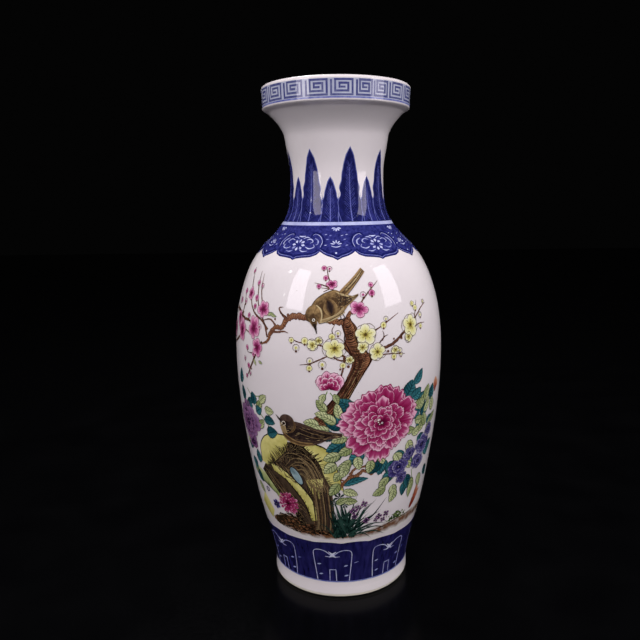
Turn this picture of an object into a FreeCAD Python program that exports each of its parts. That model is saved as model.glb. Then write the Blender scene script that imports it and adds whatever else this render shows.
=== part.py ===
"""Dish-mouth porcelain vase, 420 mm tall, luted from five turned sections and glazed.

The outline is a chain of stations. Each station has a height, a finished outer radius and a
slope, which is the gain of radius for each millimetre of rise. Between two stations the radius
is a cubic of the height, drawn in a sketch as a spline with four poles. Each wall and coat
follows that one outline, moved inwards, so the pieces meet face to face. Millimetres, +Z up,
with the origin at the middle of the face that the foot ring stands on.
"""
import FreeCAD, Part
import os
from collections import namedtuple

import Sketcher

SIZES = {
    # From the face that the foot ring stands on to the crest of the lip
    "height": 420.0,
    # Wall and coats, measured level
    "wall": 5.0,
    "glaze_thickness": 0.4,
    "slip_thickness": 1.0,
    # Foot: a bare turned rim round a glazed well
    "glaze_line_height": 3.0,
    "foot_radius": 59.7,
    "foot_edge_radius": 1.7,
    "foot_rim_width": 8.0,
    "well_depth": 8.0,
    # Each rise reaches from the station below; the belly's is what the height leaves over
    # Ankle, level with the floor inside
    "ankle_rise": 11.0,
    "ankle_radius": 59.8,
    "ankle_slope_share": 0.12,
    # Lower seam, between the foot section and the belly section
    "lower_seam_rise": 70.0,
    "lower_seam_radius": 75.2,
    "lower_seam_slope_share": 0.18,
    # Belly, the widest place and a seam
    "belly_radius": 88.7,
    # Shoulder, where the wall turns in
    "shoulder_rise": 68.0,
    "shoulder_radius": 77.2,
    "shoulder_slope_share": -0.41,
    # Nape, the steepest place between shoulder and neck
    "nape_rise": 28.0,
    "nape_radius": 58.0,
    "nape_slope_share": -1.05,
    # Root of the neck, a seam
    "neck_root_rise": 27.0,
    "neck_root_radius": 40.7,
    "neck_root_slope_share": -0.15,
    # Waist of the neck
    "waist_rise": 27.0,
    "waist_radius": 39.0,
    "waist_slope_share": 0.015,
    # Top of the neck, a seam
    "neck_top_rise": 28.0,
    "neck_top_radius": 42.9,
    "neck_top_slope_share": 0.13,
    # Dish mouth: a flare, a rounded edge, a collar that leans out, and a round lip
    "flare_rise": 19.0,
    "flare_radius": 55.2,
    "flare_slope_share": 0.98,
    "edge_rise": 3.5,
    "collar_radius": 60.4,
    "collar_rise": 15.0,
    "lip_radius": 61.1,
}

# Two points of a sketch nearer than this are one
SAME_POINT_TOLERANCE = 0.001

Station = namedtuple("Station", "height radius slope")

document = FreeCAD.newDocument("DishMouthVase")
sheet = document.addObject("Spreadsheet::Sheet", "Sizes")
for row, (alias, value) in enumerate(SIZES.items(), start=1):
    sheet.set(f"A{row}", alias)
    sheet.set(f"B{row}", str(value))
    sheet.setAlias(f"B{row}", alias)
document.recompute()


def size(name):
    """Expression for one cell of the sheet."""
    return f"Sizes.{name}"


def total(*terms):
    """Expression for a sum."""
    return "(" + " + ".join(terms) + ")"


def less(whole, *terms):
    """Expression for a whole less its parts."""
    return "(" + " - ".join((whole,) + terms) + ")"


def times(*factors):
    """Expression for a product."""
    return "(" + " * ".join(factors) + ")"


def station(height, name, slope):
    """Station at a height, with its own radius."""
    return Station(height, size(f"{name}_radius"), slope)


def above(lower, name):
    """Height of a station that stands its own rise above the one below."""
    return total(lower.height, size(f"{name}_rise"))


def beneath(upper, name):
    """Height of the station that the one above, by its name, rises from."""
    return less(upper.height, size(f"{name}_rise"))


def over_slip(seam):
    """A seam's station, moved up the outline to the upper face of the slip."""
    gain = times(seam.slope, size("slip_thickness"))
    return Station(total(seam.height, size("slip_thickness")), total(seam.radius, gain), seam.slope)


ZERO = "0"

# Lip, a half circle about the middle of the wall
half_wall = f"({size('wall')} / 2)"
spring_height = less(size("height"), half_wall)
lip_middle = (less(size("lip_radius"), half_wall), spring_height)

# The outline below the belly, up from the glaze line
glaze_line = Station(size("glaze_line_height"), size("foot_radius"), ZERO)
ankle = station(above(glaze_line, "ankle"), "ankle", size("ankle_slope_share"))
lower_seam = station(above(ankle, "lower_seam"), "lower_seam", size("lower_seam_slope_share"))

# The outline from the collar down to the belly
collar_lean = f"(({size('lip_radius')} - {size('collar_radius')}) / {size('collar_rise')})"
collar = station(less(spring_height, size("collar_rise")), "collar", collar_lean)
flare = station(less(collar.height, size("edge_rise")), "flare", size("flare_slope_share"))
neck_top = station(beneath(flare, "flare"), "neck_top", size("neck_top_slope_share"))
waist = station(beneath(neck_top, "neck_top"), "waist", size("waist_slope_share"))
neck_root = station(beneath(waist, "waist"), "neck_root", size("neck_root_slope_share"))
nape = station(beneath(neck_root, "neck_root"), "nape", size("nape_slope_share"))
shoulder = station(beneath(nape, "nape"), "shoulder", size("shoulder_slope_share"))
belly = station(beneath(shoulder, "shoulder"), "belly", ZERO)

# A run holds the stations that one section covers
foot_run = [glaze_line, ankle, lower_seam]
belly_run = [over_slip(lower_seam), belly]
shoulder_run = [over_slip(belly), shoulder, nape, neck_root]
neck_run = [over_slip(neck_root), waist, neck_top]
mouth_run = [over_slip(neck_top), flare, collar]

# A coat runs on over the slip under each section
middle_coat_runs = [
    [lower_seam] + belly_run,
    [belly] + shoulder_run,
    [neck_root] + neck_run,
]
mouth_coat_run = [neck_top] + mouth_run

# How far each skin lies inside the finished outline
FINISHED = ZERO
CLAY_OUTSIDE = size("glaze_thickness")
CLAY_INSIDE = less(size("wall"), size("glaze_thickness"))
BORE = size("wall")

# Foot well and the floor over it
well_radius = less(size("foot_radius"), size("foot_rim_width"))
clay_well_radius = total(well_radius, size("glaze_thickness"))
clay_well_top = total(size("well_depth"), size("glaze_thickness"))
clay_floor = less(ankle.height, size("glaze_thickness"))
clay_foot_radius = less(size("foot_radius"), size("glaze_thickness"))


class Outline:
    """Closed outline on a body's XZ plane, drawn stroke by stroke from bound points."""

    # Numbers that a sketch gives to the marks of a stroke and to its own axes
    START, END, CENTRE = range(1, 4)
    ACROSS_AXIS, UP_AXIS = range(-1, -3, -1)
    ORIGIN = ACROSS_AXIS

    def __init__(self, body, across, up):
        self.sketch = body.newObject("Sketcher::SketchObject", f"{body.Name}_outline")
        plane = [item for item in body.Origin.OriginFeatures if item.Role == "XZ_Plane"][0]
        self.sketch.AttachmentSupport = [(plane, "")]
        self.sketch.MapMode = "FlatFace"
        self.here = self.origin = (across, up)
        self.first = None
        self.last = None
        self.constraints = []
        self.bindings = {}

    def number(self, term):
        return float(self.sketch.evalExpression(term))

    def place(self, point):
        """Where a pair of expressions puts a point now."""
        return FreeCAD.Vector(self.number(point[0]), self.number(point[1]), 0)

    def add(self, kind, *arguments):
        self.constraints.append(Sketcher.Constraint(kind, *arguments))

    def bind(self, term, kind, *arguments):
        """Constraint whose value follows an expression."""
        self.bindings[len(self.constraints)] = term
        self.add(kind, *arguments, self.number(term))

    def pin(self, geometry, mark, point):
        """Bind a point's distance from the axis and its height."""
        axes = (("DistanceX", self.UP_AXIS), ("DistanceY", self.ACROSS_AXIS))
        for (kind, axis), term in zip(axes, point):
            if term == ZERO:
                self.add("PointOnObject", geometry, mark, axis)
            else:
                self.bind(term, kind, self.ORIGIN, self.START, geometry, mark)

    def link(self, geometry, near, far, goal):
        """Tie a stroke's near end to the last stroke and make its far end the last."""
        if self.last is None:
            self.pin(geometry, near, self.here)
            self.first = (geometry, near)
        else:
            self.add("Coincident", *self.last, geometry, near)
        self.last = (geometry, far)
        self.here = goal

    def line(self, across, up):
        goal = (across, up)
        stroke = Part.LineSegment(self.place(self.here), self.place(goal))
        geometry = self.sketch.addGeometry(stroke, False)
        self.link(geometry, self.START, self.END, goal)
        self.pin(geometry, self.END, goal)

    def arc(self, middle, radius, across, up):
        """Quarter circle about a middle."""
        goal = (across, up)
        centre = self.place(middle)
        begin, end = self.place(self.here), self.place(goal)
        way_out = (begin - centre) + (end - centre)
        crest = centre + way_out.normalize() * self.number(radius)
        geometry = self.sketch.addGeometry(Part.Arc(begin, crest, end), False)
        turns_back = self.sketch.getPoint(geometry, self.START).isEqual(end, SAME_POINT_TOLERANCE)
        near, far = (self.END, self.START) if turns_back else (self.START, self.END)
        self.link(geometry, near, far, goal)
        self.pin(geometry, far, goal)
        self.bind(radius, "Radius", geometry)

    def curve(self, begin, end, inset):
        """Stretch between two stations, moved inwards: the poles stand at thirds of the rise."""
        third = f"(({end.height} - {begin.height}) / 3)"
        points = [
            (less(begin.radius, inset), begin.height),
            (total(less(begin.radius, inset), times(begin.slope, third)), total(begin.height, third)),
            (less(end.radius, inset, times(end.slope, third)), less(end.height, third)),
            (less(end.radius, inset), end.height),
        ]
        poles = [self.place(point) for point in points]
        spline = Part.BSplineCurve()
        spline.buildFromPolesMultsKnots(poles, [4, 4], [0, 1], False, 3)
        geometry = self.sketch.addGeometry(spline, False)
        self.link(geometry, self.START, self.END, points[-1])
        for index, (point, pole) in enumerate(zip(points, poles)):
            ring = Part.Circle(pole, FreeCAD.Vector(0, 0, 1), 1)
            mark = self.sketch.addGeometry(ring, True)
            self.add("InternalAlignment:Sketcher::BSplineControlPoint",
                     mark, self.CENTRE, geometry, index)
            self.add("Weight", mark, 1)
            if index > 0:
                self.pin(mark, self.CENTRE, point)

    def follow(self, stations, inset):
        """Along the outline: a curve between stations, but a straight line over a slip."""
        for begin, end in zip(stations, stations[1:]):
            if over_slip(begin) == end or over_slip(end) == begin:
                self.line(less(end.radius, inset), end.height)
            else:
                self.curve(begin, end, inset)

    def close(self):
        stroke = Part.LineSegment(self.place(self.here), self.place(self.origin))
        geometry = self.sketch.addGeometry(stroke, False)
        self.link(geometry, self.START, self.END, self.origin)
        self.add("Coincident", *self.last, *self.first)
        self.sketch.addConstraint(self.constraints)
        for index, term in self.bindings.items():
            self.sketch.setExpression(f"Constraints[{index}]", term)


def new_piece(name):
    """Body with a label of its own, listed among the pieces."""
    body = document.addObject("PartDesign::Body", name)
    body.Label = name
    pieces.append(body)
    return body


def turn(body, outline):
    """Close an outline and revolve it once round the axis, as the body's next feature."""
    outline.close()
    revolution = body.newObject("PartDesign::Revolution", f"{body.Name}_turned")
    revolution.Profile = outline.sketch
    revolution.ReferenceAxis = (outline.sketch, ["V_Axis"])
    revolution.Angle = 360
    body.Tip = revolution


def turn_wall(body, run, outside, inside):
    """Stretch of wall or coat along a run, between two depths."""
    outline = Outline(body, less(run[0].radius, outside), run[0].height)
    outline.follow(run, outside)
    outline.line(less(run[-1].radius, inside), run[-1].height)
    outline.follow(run[::-1], inside)
    turn(body, outline)


def make_foot_section():
    """Foot ring with its recessed well, the floor over it and the first stretch of wall."""
    body = new_piece("foot_section")
    edge = size("foot_edge_radius")
    edge_middle = (less(clay_foot_radius, edge), edge)
    outline = Outline(body, clay_foot_radius, glaze_line.height)
    outline.follow(foot_run, CLAY_OUTSIDE)
    outline.line(less(lower_seam.radius, CLAY_INSIDE), lower_seam.height)
    outline.follow([lower_seam, ankle], CLAY_INSIDE)
    outline.line(less(ankle.radius, CLAY_INSIDE), clay_floor)
    outline.line(ZERO, clay_floor)
    outline.line(ZERO, clay_well_top)
    outline.line(clay_well_radius, clay_well_top)
    outline.line(clay_well_radius, ZERO)
    outline.line(less(clay_foot_radius, edge), ZERO)
    outline.arc(edge_middle, edge, clay_foot_radius, edge)
    turn(body, outline)


def make_wall_section(name, run):
    """Plain turned wall between two seams."""
    turn_wall(new_piece(name), run, CLAY_OUTSIDE, CLAY_INSIDE)


def make_slip(name, seam):
    """Ring of slip that lutes two sections together."""
    turn_wall(new_piece(name), [seam, over_slip(seam)], CLAY_OUTSIDE, CLAY_INSIDE)


def make_mouth_section():
    """Dish mouth: flare, rounded edge, upright collar and round lip."""
    body = new_piece("mouth_section")
    reach = less(half_wall, CLAY_OUTSIDE)
    outline = Outline(body, less(mouth_run[0].radius, CLAY_OUTSIDE), mouth_run[0].height)
    outline.follow(mouth_run, CLAY_OUTSIDE)
    outline.line(total(lip_middle[0], reach), spring_height)
    outline.arc(lip_middle, reach, lip_middle[0], total(spring_height, reach))
    outline.arc(lip_middle, reach, less(lip_middle[0], reach), spring_height)
    outline.line(less(collar.radius, CLAY_INSIDE), collar.height)
    outline.follow(mouth_run[::-1], CLAY_INSIDE)
    turn(body, outline)


def make_outer_glaze():
    """Clear coat over the whole outside, from the glaze line to the crest of the lip."""
    body = new_piece("outer_glaze")
    turn_wall(body, foot_run, FINISHED, CLAY_OUTSIDE)
    for run in middle_coat_runs:
        turn_wall(body, run, FINISHED, CLAY_OUTSIDE)
    clay_reach = less(half_wall, CLAY_OUTSIDE)
    outline = Outline(body, less(neck_top.radius, FINISHED), neck_top.height)
    outline.follow(mouth_coat_run, FINISHED)
    outline.line(total(lip_middle[0], half_wall), spring_height)
    outline.arc(lip_middle, half_wall, lip_middle[0], total(spring_height, half_wall))
    outline.line(lip_middle[0], total(spring_height, clay_reach))
    outline.arc(lip_middle, clay_reach, total(lip_middle[0], clay_reach), spring_height)
    outline.line(less(collar.radius, CLAY_OUTSIDE), collar.height)
    outline.follow(mouth_coat_run[::-1], CLAY_OUTSIDE)
    turn(body, outline)


def make_inner_glaze():
    """Clear coat over the floor and up the bore to the crest of the lip."""
    body = new_piece("inner_glaze")
    outline = Outline(body, ZERO, clay_floor)
    outline.line(less(ankle.radius, CLAY_INSIDE), clay_floor)
    outline.line(less(ankle.radius, CLAY_INSIDE), ankle.height)
    outline.follow([ankle, lower_seam], CLAY_INSIDE)
    outline.line(less(lower_seam.radius, BORE), lower_seam.height)
    outline.follow([lower_seam, ankle], BORE)
    outline.line(ZERO, ankle.height)
    turn(body, outline)
    for run in middle_coat_runs:
        turn_wall(body, run, CLAY_INSIDE, BORE)
    clay_reach = less(half_wall, CLAY_OUTSIDE)
    outline = Outline(body, less(neck_top.radius, CLAY_INSIDE), neck_top.height)
    outline.follow(mouth_coat_run, CLAY_INSIDE)
    outline.line(less(lip_middle[0], clay_reach), spring_height)
    outline.arc(lip_middle, clay_reach, lip_middle[0], total(spring_height, clay_reach))
    outline.line(lip_middle[0], total(spring_height, half_wall))
    outline.arc(lip_middle, half_wall, less(lip_middle[0], half_wall), spring_height)
    outline.line(less(collar.radius, BORE), collar.height)
    outline.follow(mouth_coat_run[::-1], BORE)
    turn(body, outline)


def make_base_glaze():
    """Clear coat in the foot well, stopped short of the bare rim."""
    body = new_piece("base_glaze")
    outline = Outline(body, ZERO, size("well_depth"))
    outline.line(well_radius, size("well_depth"))
    outline.line(well_radius, glaze_line.height)
    outline.line(clay_well_radius, glaze_line.height)
    outline.line(clay_well_radius, clay_well_top)
    outline.line(ZERO, clay_well_top)
    turn(body, outline)


pieces = []
make_foot_section()
make_slip("lower_seam_slip", lower_seam)
make_wall_section("belly_section", belly_run)
make_slip("belly_seam_slip", belly)
make_wall_section("shoulder_section", shoulder_run)
make_slip("neck_root_slip", neck_root)
make_wall_section("neck_section", neck_run)
make_slip("neck_top_slip", neck_top)
make_mouth_section()
make_outer_glaze()
make_inner_glaze()
make_base_glaze()
document.recompute()

for item in document.Objects:
    if {"Invalid", "Error"} & set(item.State):
        raise RuntimeError(f"{item.Name} did not recompute: {item.State}")
for piece in pieces:
    if piece.Shape.isNull() or not piece.Shape.isValid() or len(piece.Shape.Solids) != 1:
        raise RuntimeError(f"{piece.Label} has no sound solid")

os.makedirs("parts", exist_ok=True)
for piece in pieces:
    piece.Shape.exportStep(f"parts/{piece.Label}.step")
    box = piece.Shape.BoundBox
    print(f"{piece.Label}: z {box.ZMin:.2f} to {box.ZMax:.2f}, volume {piece.Shape.Volume:.0f} mm3")
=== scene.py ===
"""Dish-mouth porcelain vase with underglaze blue bands and an enamelled bird-and-flower scene.

Heights are millimetres above the foot ring. Places round the vase are millimetres along the
girth of the belly, with zero at the front and the right-hand side positive, so the painted
scene is laid out on one flat sheet and then wrapped on the glaze. Lengths and widths of single
shapes are real millimetres on the glaze.
"""

import math
import random
from random import uniform

import bpy
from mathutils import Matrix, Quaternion, Vector


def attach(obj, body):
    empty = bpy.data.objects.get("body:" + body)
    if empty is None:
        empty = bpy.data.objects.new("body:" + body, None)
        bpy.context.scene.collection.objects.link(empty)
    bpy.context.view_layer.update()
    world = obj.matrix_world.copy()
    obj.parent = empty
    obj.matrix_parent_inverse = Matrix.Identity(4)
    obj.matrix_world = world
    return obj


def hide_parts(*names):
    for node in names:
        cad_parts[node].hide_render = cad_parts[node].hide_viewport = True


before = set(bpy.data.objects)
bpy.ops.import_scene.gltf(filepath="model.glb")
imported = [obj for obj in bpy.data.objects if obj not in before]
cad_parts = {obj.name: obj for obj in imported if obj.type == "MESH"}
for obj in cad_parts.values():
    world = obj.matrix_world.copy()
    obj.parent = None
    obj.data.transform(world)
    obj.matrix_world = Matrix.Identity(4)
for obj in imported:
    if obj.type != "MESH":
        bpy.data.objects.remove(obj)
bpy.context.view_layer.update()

MM = 0.001
BRUSH_SEED = 7
random.seed(BRUSH_SEED)

BELLY_RADIUS = 88.7
GLAZE_LINE = 3.0
SPRING_HEIGHT = 417.5
LIP_RADIUS = 61.1
WALL = 5.0
GLAZE = 0.4

# Outline of the finished glaze: height, radius and slope at each station
OUTLINE = [
    (GLAZE_LINE, 59.7, 0.0),
    (14.0, 59.8, 0.12),
    (84.0, 75.2, 0.18),
    (202.0, BELLY_RADIUS, 0.0),
    (270.0, 77.2, -0.41),
    (298.0, 58.0, -1.05),
    (325.0, 40.7, -0.15),
    (352.0, 39.0, 0.015),
    (380.0, 42.9, 0.13),
    (399.0, 55.2, 0.98),
    (402.5, 60.4, 0.047),
    (SPRING_HEIGHT, LIP_RADIUS, 0.047),
]
# No facet of the brushwork is longer, and each level of it lies this far above the last
FACET = 1.2
LEVEL = 0.004
FIRST_LIFT = 0.02
# A row narrower than this is one point, and a face smaller than this is left out
POINT_WIDTH = 0.05
SMALLEST_FACE = 1e-7
# Smallest side of a patch in the bake, and the gap between two patches there
SMALLEST_SIDE = 0.5
BAKE_GAP = 0.6
# Glass that the enamels and the cobalt's cover are made of
GLASS_IOR = 1.5


def linear(code):
    """sRGB hex colour as linear red, green and blue, and full alpha."""
    channels = [int(code[i:i + 2], 16) / 255 for i in (1, 3, 5)]
    steps = [c / 12.92 if c <= 0.04045 else ((c + 0.055) / 1.055) ** 2.4 for c in channels]
    return (*steps, 1.0)


def add_node(tree, kind, settings=None):
    """Node with its properties, sockets and colour stops set; a socket given as value is linked.

    The inputs of a sum go by number, and so do a mix's share (0) and its two colours (6 and 7).
    """
    node = tree.nodes.new("ShaderNode" + kind)
    for name, value in (settings or {}).items():
        if isinstance(value, str) and value.startswith("#"):
            value = linear(value)
        if name == "stops":
            elements = node.color_ramp.elements
            while len(elements) < len(value):
                elements.new(1.0)
            for element, (position, code) in zip(elements, value):
                element.position = position
                element.color = linear(code)
        elif isinstance(value, bpy.types.NodeSocket):
            tree.links.new(value, node.inputs[name])
        elif isinstance(name, int) or name in node.inputs:
            node.inputs[name].default_value = value
        else:
            setattr(node, name, value)
    return node


def to_a_metre(millimetres):
    """How many marks of a size go to a metre, which is a texture's scale."""
    return 1 / (millimetres * MM)


def outline_at(height):
    """Radius and slope of the glaze at a height."""
    for below, above in zip(OUTLINE, OUTLINE[1:]):
        if height <= above[0]:
            break
    rise = above[0] - below[0]
    t = (height - below[0]) / rise
    radius = (below[1] * (2 * t ** 3 - 3 * t ** 2 + 1) + above[1] * (3 * t ** 2 - 2 * t ** 3)
              + rise * below[2] * (t ** 3 - 2 * t ** 2 + t) + rise * above[2] * (t ** 3 - t ** 2))
    slope = ((below[1] - above[1]) * (6 * t ** 2 - 6 * t) / rise
             + below[2] * (3 * t ** 2 - 4 * t + 1) + above[2] * (3 * t ** 2 - 2 * t))
    return radius, slope


def on_glaze(around, height, lift):
    """Point in metres on the glaze, lifted off it by millimetres, and the glaze's normal."""
    radius, slope = outline_at(height)
    lean = math.hypot(1, slope)
    angle = around / BELLY_RADIUS
    side, front = math.sin(angle), -math.cos(angle)
    reach = radius + lift / lean
    point = (reach * side * MM, reach * front * MM, (height - lift * slope / lean) * MM)
    return point, (side / lean, front / lean, -slope / lean)


def stretch(height):
    """Sheet millimetres for one real millimetre round the glaze, and up it, at a height."""
    radius, slope = outline_at(height)
    return BELLY_RADIUS / radius, 1 / math.hypot(1, slope)


def at_angle(angle):
    """Place round the vase of an angle in degrees from the front."""
    return math.radians(angle) * BELLY_RADIUS


def level_edge(height):
    """Edge of a band that keeps one height all the way round."""
    return lambda angle: height


def place(origin, across, up, turn=0.0):
    """Sheet place of a real offset from an origin, turned clockwise by degrees."""
    wide, high = stretch(origin[1])
    c, s = math.cos(math.radians(turn)), math.sin(math.radians(turn))
    return (origin[0] + (across * c + up * s) * wide, origin[1] + (up * c - across * s) * high)


def at_way(middle, far, way, squash=1.0):
    """Place that lies a distance from another one, in the direction of a clock hand in degrees."""
    angle = math.radians(way)
    return place(middle, far * math.sin(angle), far * math.cos(angle) * squash)


def oval(middle, wide, high, lean, ways):
    """Places on an oval round a middle, turned clockwise by degrees."""
    return [place(middle, wide * math.sin(math.radians(way)), high * math.cos(math.radians(way)), lean)
            for way in ways]


def towards(middle, spots, share):
    """Places moved in towards a middle, to a share of their distance."""
    return [tuple(m + (s - m) * share for m, s in zip(middle, spot)) for spot in spots]


def squashed(across, up, turn, squash):
    """Offset turned by degrees and then flattened up the vase, as a flower seen at a slant."""
    c, s = math.cos(math.radians(turn)), math.sin(math.radians(turn))
    return across * c + up * s, (up * c - across * s) * squash


def respace(points, step, count):
    """Places at even distances along a line of places: so many of them, or one at each step."""
    lengths = [0.0]
    for a, b in zip(points, points[1:]):
        lengths.append(lengths[-1] + math.dist(a, b))
    count = count or max(2, math.ceil(lengths[-1] / step) + 1)
    spread, k = [], 0
    for i in range(count):
        goal = lengths[-1] * i / (count - 1)
        while k < len(points) - 2 and lengths[k + 1] < goal:
            k += 1
        t = (goal - lengths[k]) / (lengths[k + 1] - lengths[k] or 1)
        spread.append(tuple(a + (b - a) * t for a, b in zip(points[k], points[k + 1])))
    return spread


def smooth(points, step=FACET, count=None):
    """Places evenly along a smooth curve through given ones."""
    if len(points) > 2:
        before = tuple(2 * a - b for a, b in zip(points[0], points[1]))
        after = tuple(2 * a - b for a, b in zip(points[-1], points[-2]))
        ends = [before, *points, after]
        dense, between = [], 12
        for a, b, c, d in zip(ends, ends[1:], ends[2:], ends[3:]):
            for i in range(between):
                t = i / between
                dense.append(tuple(
                    0.5 * (2 * q + (r - p) * t + (2 * p - 5 * q + 4 * r - s) * t ** 2
                           + (3 * q - p - 3 * r + s) * t ** 3)
                    for p, q, r, s in zip(a, b, c, d)))
        points = dense + [tuple(points[-1])]
    return respace(points, step, count)


def blend_along(values, share):
    """Value at a share of the way through a list of values."""
    spot = share * (len(values) - 1)
    low = min(int(spot), len(values) - 2) if len(values) > 1 else 0
    return values[low] + (values[min(low + 1, len(values) - 1)] - values[low]) * (spot - low)


def blend_place(places, share):
    """Place at a share of the way through a list of places."""
    return tuple(blend_along([spot[axis] for spot in places], share) for axis in (0, 1))


def across_edges(edges, share, across):
    """Place at a share of the way along two edges, and at a share of the way across them."""
    first, second = (blend_place(edge, share) for edge in edges)
    return tuple(p + (q - p) * across for p, q in zip(first, second))


class Film:
    """Brushwork of one colour: patches gathered on the flat sheet, then wrapped on the glaze."""

    def __init__(self, name, material, slot="cobalt_painting"):
        self.name, self.material, self.slot = name, material, slot
        self.spots, self.brush, self.tones, self.faces, self.patches = [], [], [], [], []

    def weave(self, rows, level, tone, reach=None):
        """Patch over rows of places; a row of one place is a point. Level is the paint's height."""
        start = len(self.spots)
        middle = [row[len(row) // 2] for row in rows]
        length = sum(math.dist(a, b) for a, b in zip(middle, middle[1:]))
        breadth = max(math.dist(row[0], row[-1]) for row in rows)
        self.patches.append((start, sum(len(row) for row in rows), max(length, SMALLEST_SIDE),
                             max(breadth, SMALLEST_SIDE)))
        firsts = []
        for i, row in enumerate(rows):
            firsts.append(len(self.spots))
            for j, spot in enumerate(row):
                across = 2 * j / (len(row) - 1) - 1 if len(row) > 1 else 0.0
                self.spots.append((spot[0], spot[1], FIRST_LIFT + level * LEVEL))
                self.brush.append((i / (len(rows) - 1), across, (reach or length)))
                self.tones.append(tone)
        for i, (row, later) in enumerate(zip(rows, rows[1:])):
            a, b = firsts[i], firsts[i + 1]
            if len(row) == 1 or len(later) == 1:
                tip, ring, count = (a, b, len(later)) if len(row) == 1 else (b, a, len(row))
                quads = [(tip, ring + j, ring + j + 1) for j in range(count - 1)]
            else:
                quads = [(a + j, a + j + 1, b + j + 1, b + j) for j in range(len(row) - 1)]
            for quad in quads:
                spots = [self.spots[k] for k in quad]
                area = sum(p[0] * q[1] - q[0] * p[1] for p, q in zip(spots, spots[1:] + spots[:1]))
                if abs(area) > SMALLEST_FACE:
                    self.faces.append(quad if area > 0 else quad[::-1])

    def stroke(self, path, widths, level, tone, columns=None, step=FACET, rough=0.0):
        """Ribbon along a smooth path, with real widths spaced evenly from its start to its end.

        Columns is the count of faces across it, step the length of a face along it, and rough the
        share by which its two edges wander.
        """
        line = smooth(path, step)
        if len(line) < 3:
            line = respace(path, step, 3)
        columns = columns or max(1, math.ceil(max(widths) / FACET))
        rows = []
        for i, spot in enumerate(line):
            wide, high = stretch(spot[1])
            ahead, behind = line[min(i + 1, len(line) - 1)], line[max(i - 1, 0)]
            along = ((ahead[0] - behind[0]) / wide, (ahead[1] - behind[1]) / high)
            size = math.hypot(*along) or 1
            half = blend_along(widths, i / (len(line) - 1)) / 2
            left = half * (1 + rough * uniform(-1, 1))
            right = half * (1 + rough * uniform(-1, 1))
            row = []
            for j in range(columns + 1):
                out = -left + (left + right) * j / columns
                row.append((spot[0] + out * along[1] / size * wide,
                            spot[1] - out * along[0] / size * high))
            rows.append(row)
        if widths[0] == 0:
            rows[0] = [line[0]]
        if widths[-1] == 0:
            rows[-1] = [line[-1]]
        self.weave(rows, level, tone)

    def between(self, left, right, level, tone):
        """Patch between two smooth edges."""
        longest = max(len(smooth(left)), len(smooth(right)))
        edges = smooth(left, count=longest), smooth(right, count=longest)
        gap = max(math.dist(a, b) for a, b in zip(*edges))
        columns = max(1, math.ceil(gap / FACET))
        rows = [[tuple(p + (q - p) * j / columns for p, q in zip(a, b)) for j in range(columns + 1)]
                for a, b in zip(*edges)]
        self.weave([row if math.dist(row[0], row[-1]) > POINT_WIDTH else row[:1] for row in rows],
                   level, tone)

    def band(self, low, high, level, tone=0.5, parts=8):
        """Closed ring between two edges, each a function of the angle in degrees."""
        row_height = 2.0
        rows_up = max(1, math.ceil((high(0) - low(0)) / row_height))
        for part in range(parts):
            rows = []
            for i in range(rows_up + 1):
                row = []
                for j in range(360 // parts + 1):
                    angle = part * 360 / parts + j
                    bottom, top = low(angle), high(angle)
                    row.append((at_angle(angle), bottom + (top - bottom) * i / rows_up))
                rows.append(row)
            self.weave(rows, level, tone)

    def fan(self, heart, inner, outer, spread, turn, level, tone, squash=1.0):
        """Petal from a heart: outer is its reach at shares from one side to the other."""
        reach = max(outer)
        columns = max(4, math.ceil(reach * math.radians(spread) / FACET))
        steps = max(3, math.ceil((reach - inner) / FACET))
        rows = []
        for i in range(steps + 1):
            row = []
            for j in range(columns + 1):
                share = j / columns
                way = math.radians((share - 0.5) * spread)
                far = inner + (blend_along(outer, share) - inner) * i / steps
                row.append(place(heart, *squashed(far * math.sin(way), far * math.cos(way),
                                                  turn, squash)))
            rows.append(row)
        self.weave(rows, level, tone, reach)
        return rows[-1]

    def disc(self, middle, radius, level, tone=0.5, high=1.0, turn=0.0):
        """Round dot, or an oval one, as rings about its middle."""
        around = max(8, math.ceil(radius * 2 * math.pi / FACET))
        rings = max(1, math.ceil(radius / FACET))
        rows = [[middle]]
        for i in range(1, rings + 1):
            far = radius * i / rings
            rows.append([place(middle, far * math.sin(2 * math.pi * j / around),
                               far * high * math.cos(2 * math.pi * j / around), turn)
                         for j in range(around + 1)])
        self.weave(rows, level, tone)

    def pack(self):
        """Strips side by side in a square, so that no two patches share a place in a bake."""
        gap, slack = BAKE_GAP, 1.1
        longest = max(patch[2] for patch in self.patches) + gap
        room = sum((patch[2] + gap) * (patch[3] + gap) for patch in self.patches)
        side = max(longest, math.sqrt(room) * slack)
        corners = {}
        across, up, shelf = 0.0, 0.0, 0.0
        for patch in sorted(self.patches, key=lambda item: -item[3]):
            if across + patch[2] + gap > side:
                across, up, shelf = 0.0, up + shelf, 0.0
            corners[patch[0]] = (across, up)
            across += patch[2] + gap
            shelf = max(shelf, patch[3] + gap)
        side = max(side, up + shelf)
        sheet = [(0.0, 0.0)] * len(self.spots)
        for start, count, length, breadth in self.patches:
            left, low = corners[start]
            for k in range(start, start + count):
                along, across = self.brush[k][:2]
                sheet[k] = ((left + along * length + gap / 2) / side,
                            (low + (across + 1) / 2 * breadth + gap / 2) / side)
        return sheet

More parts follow.
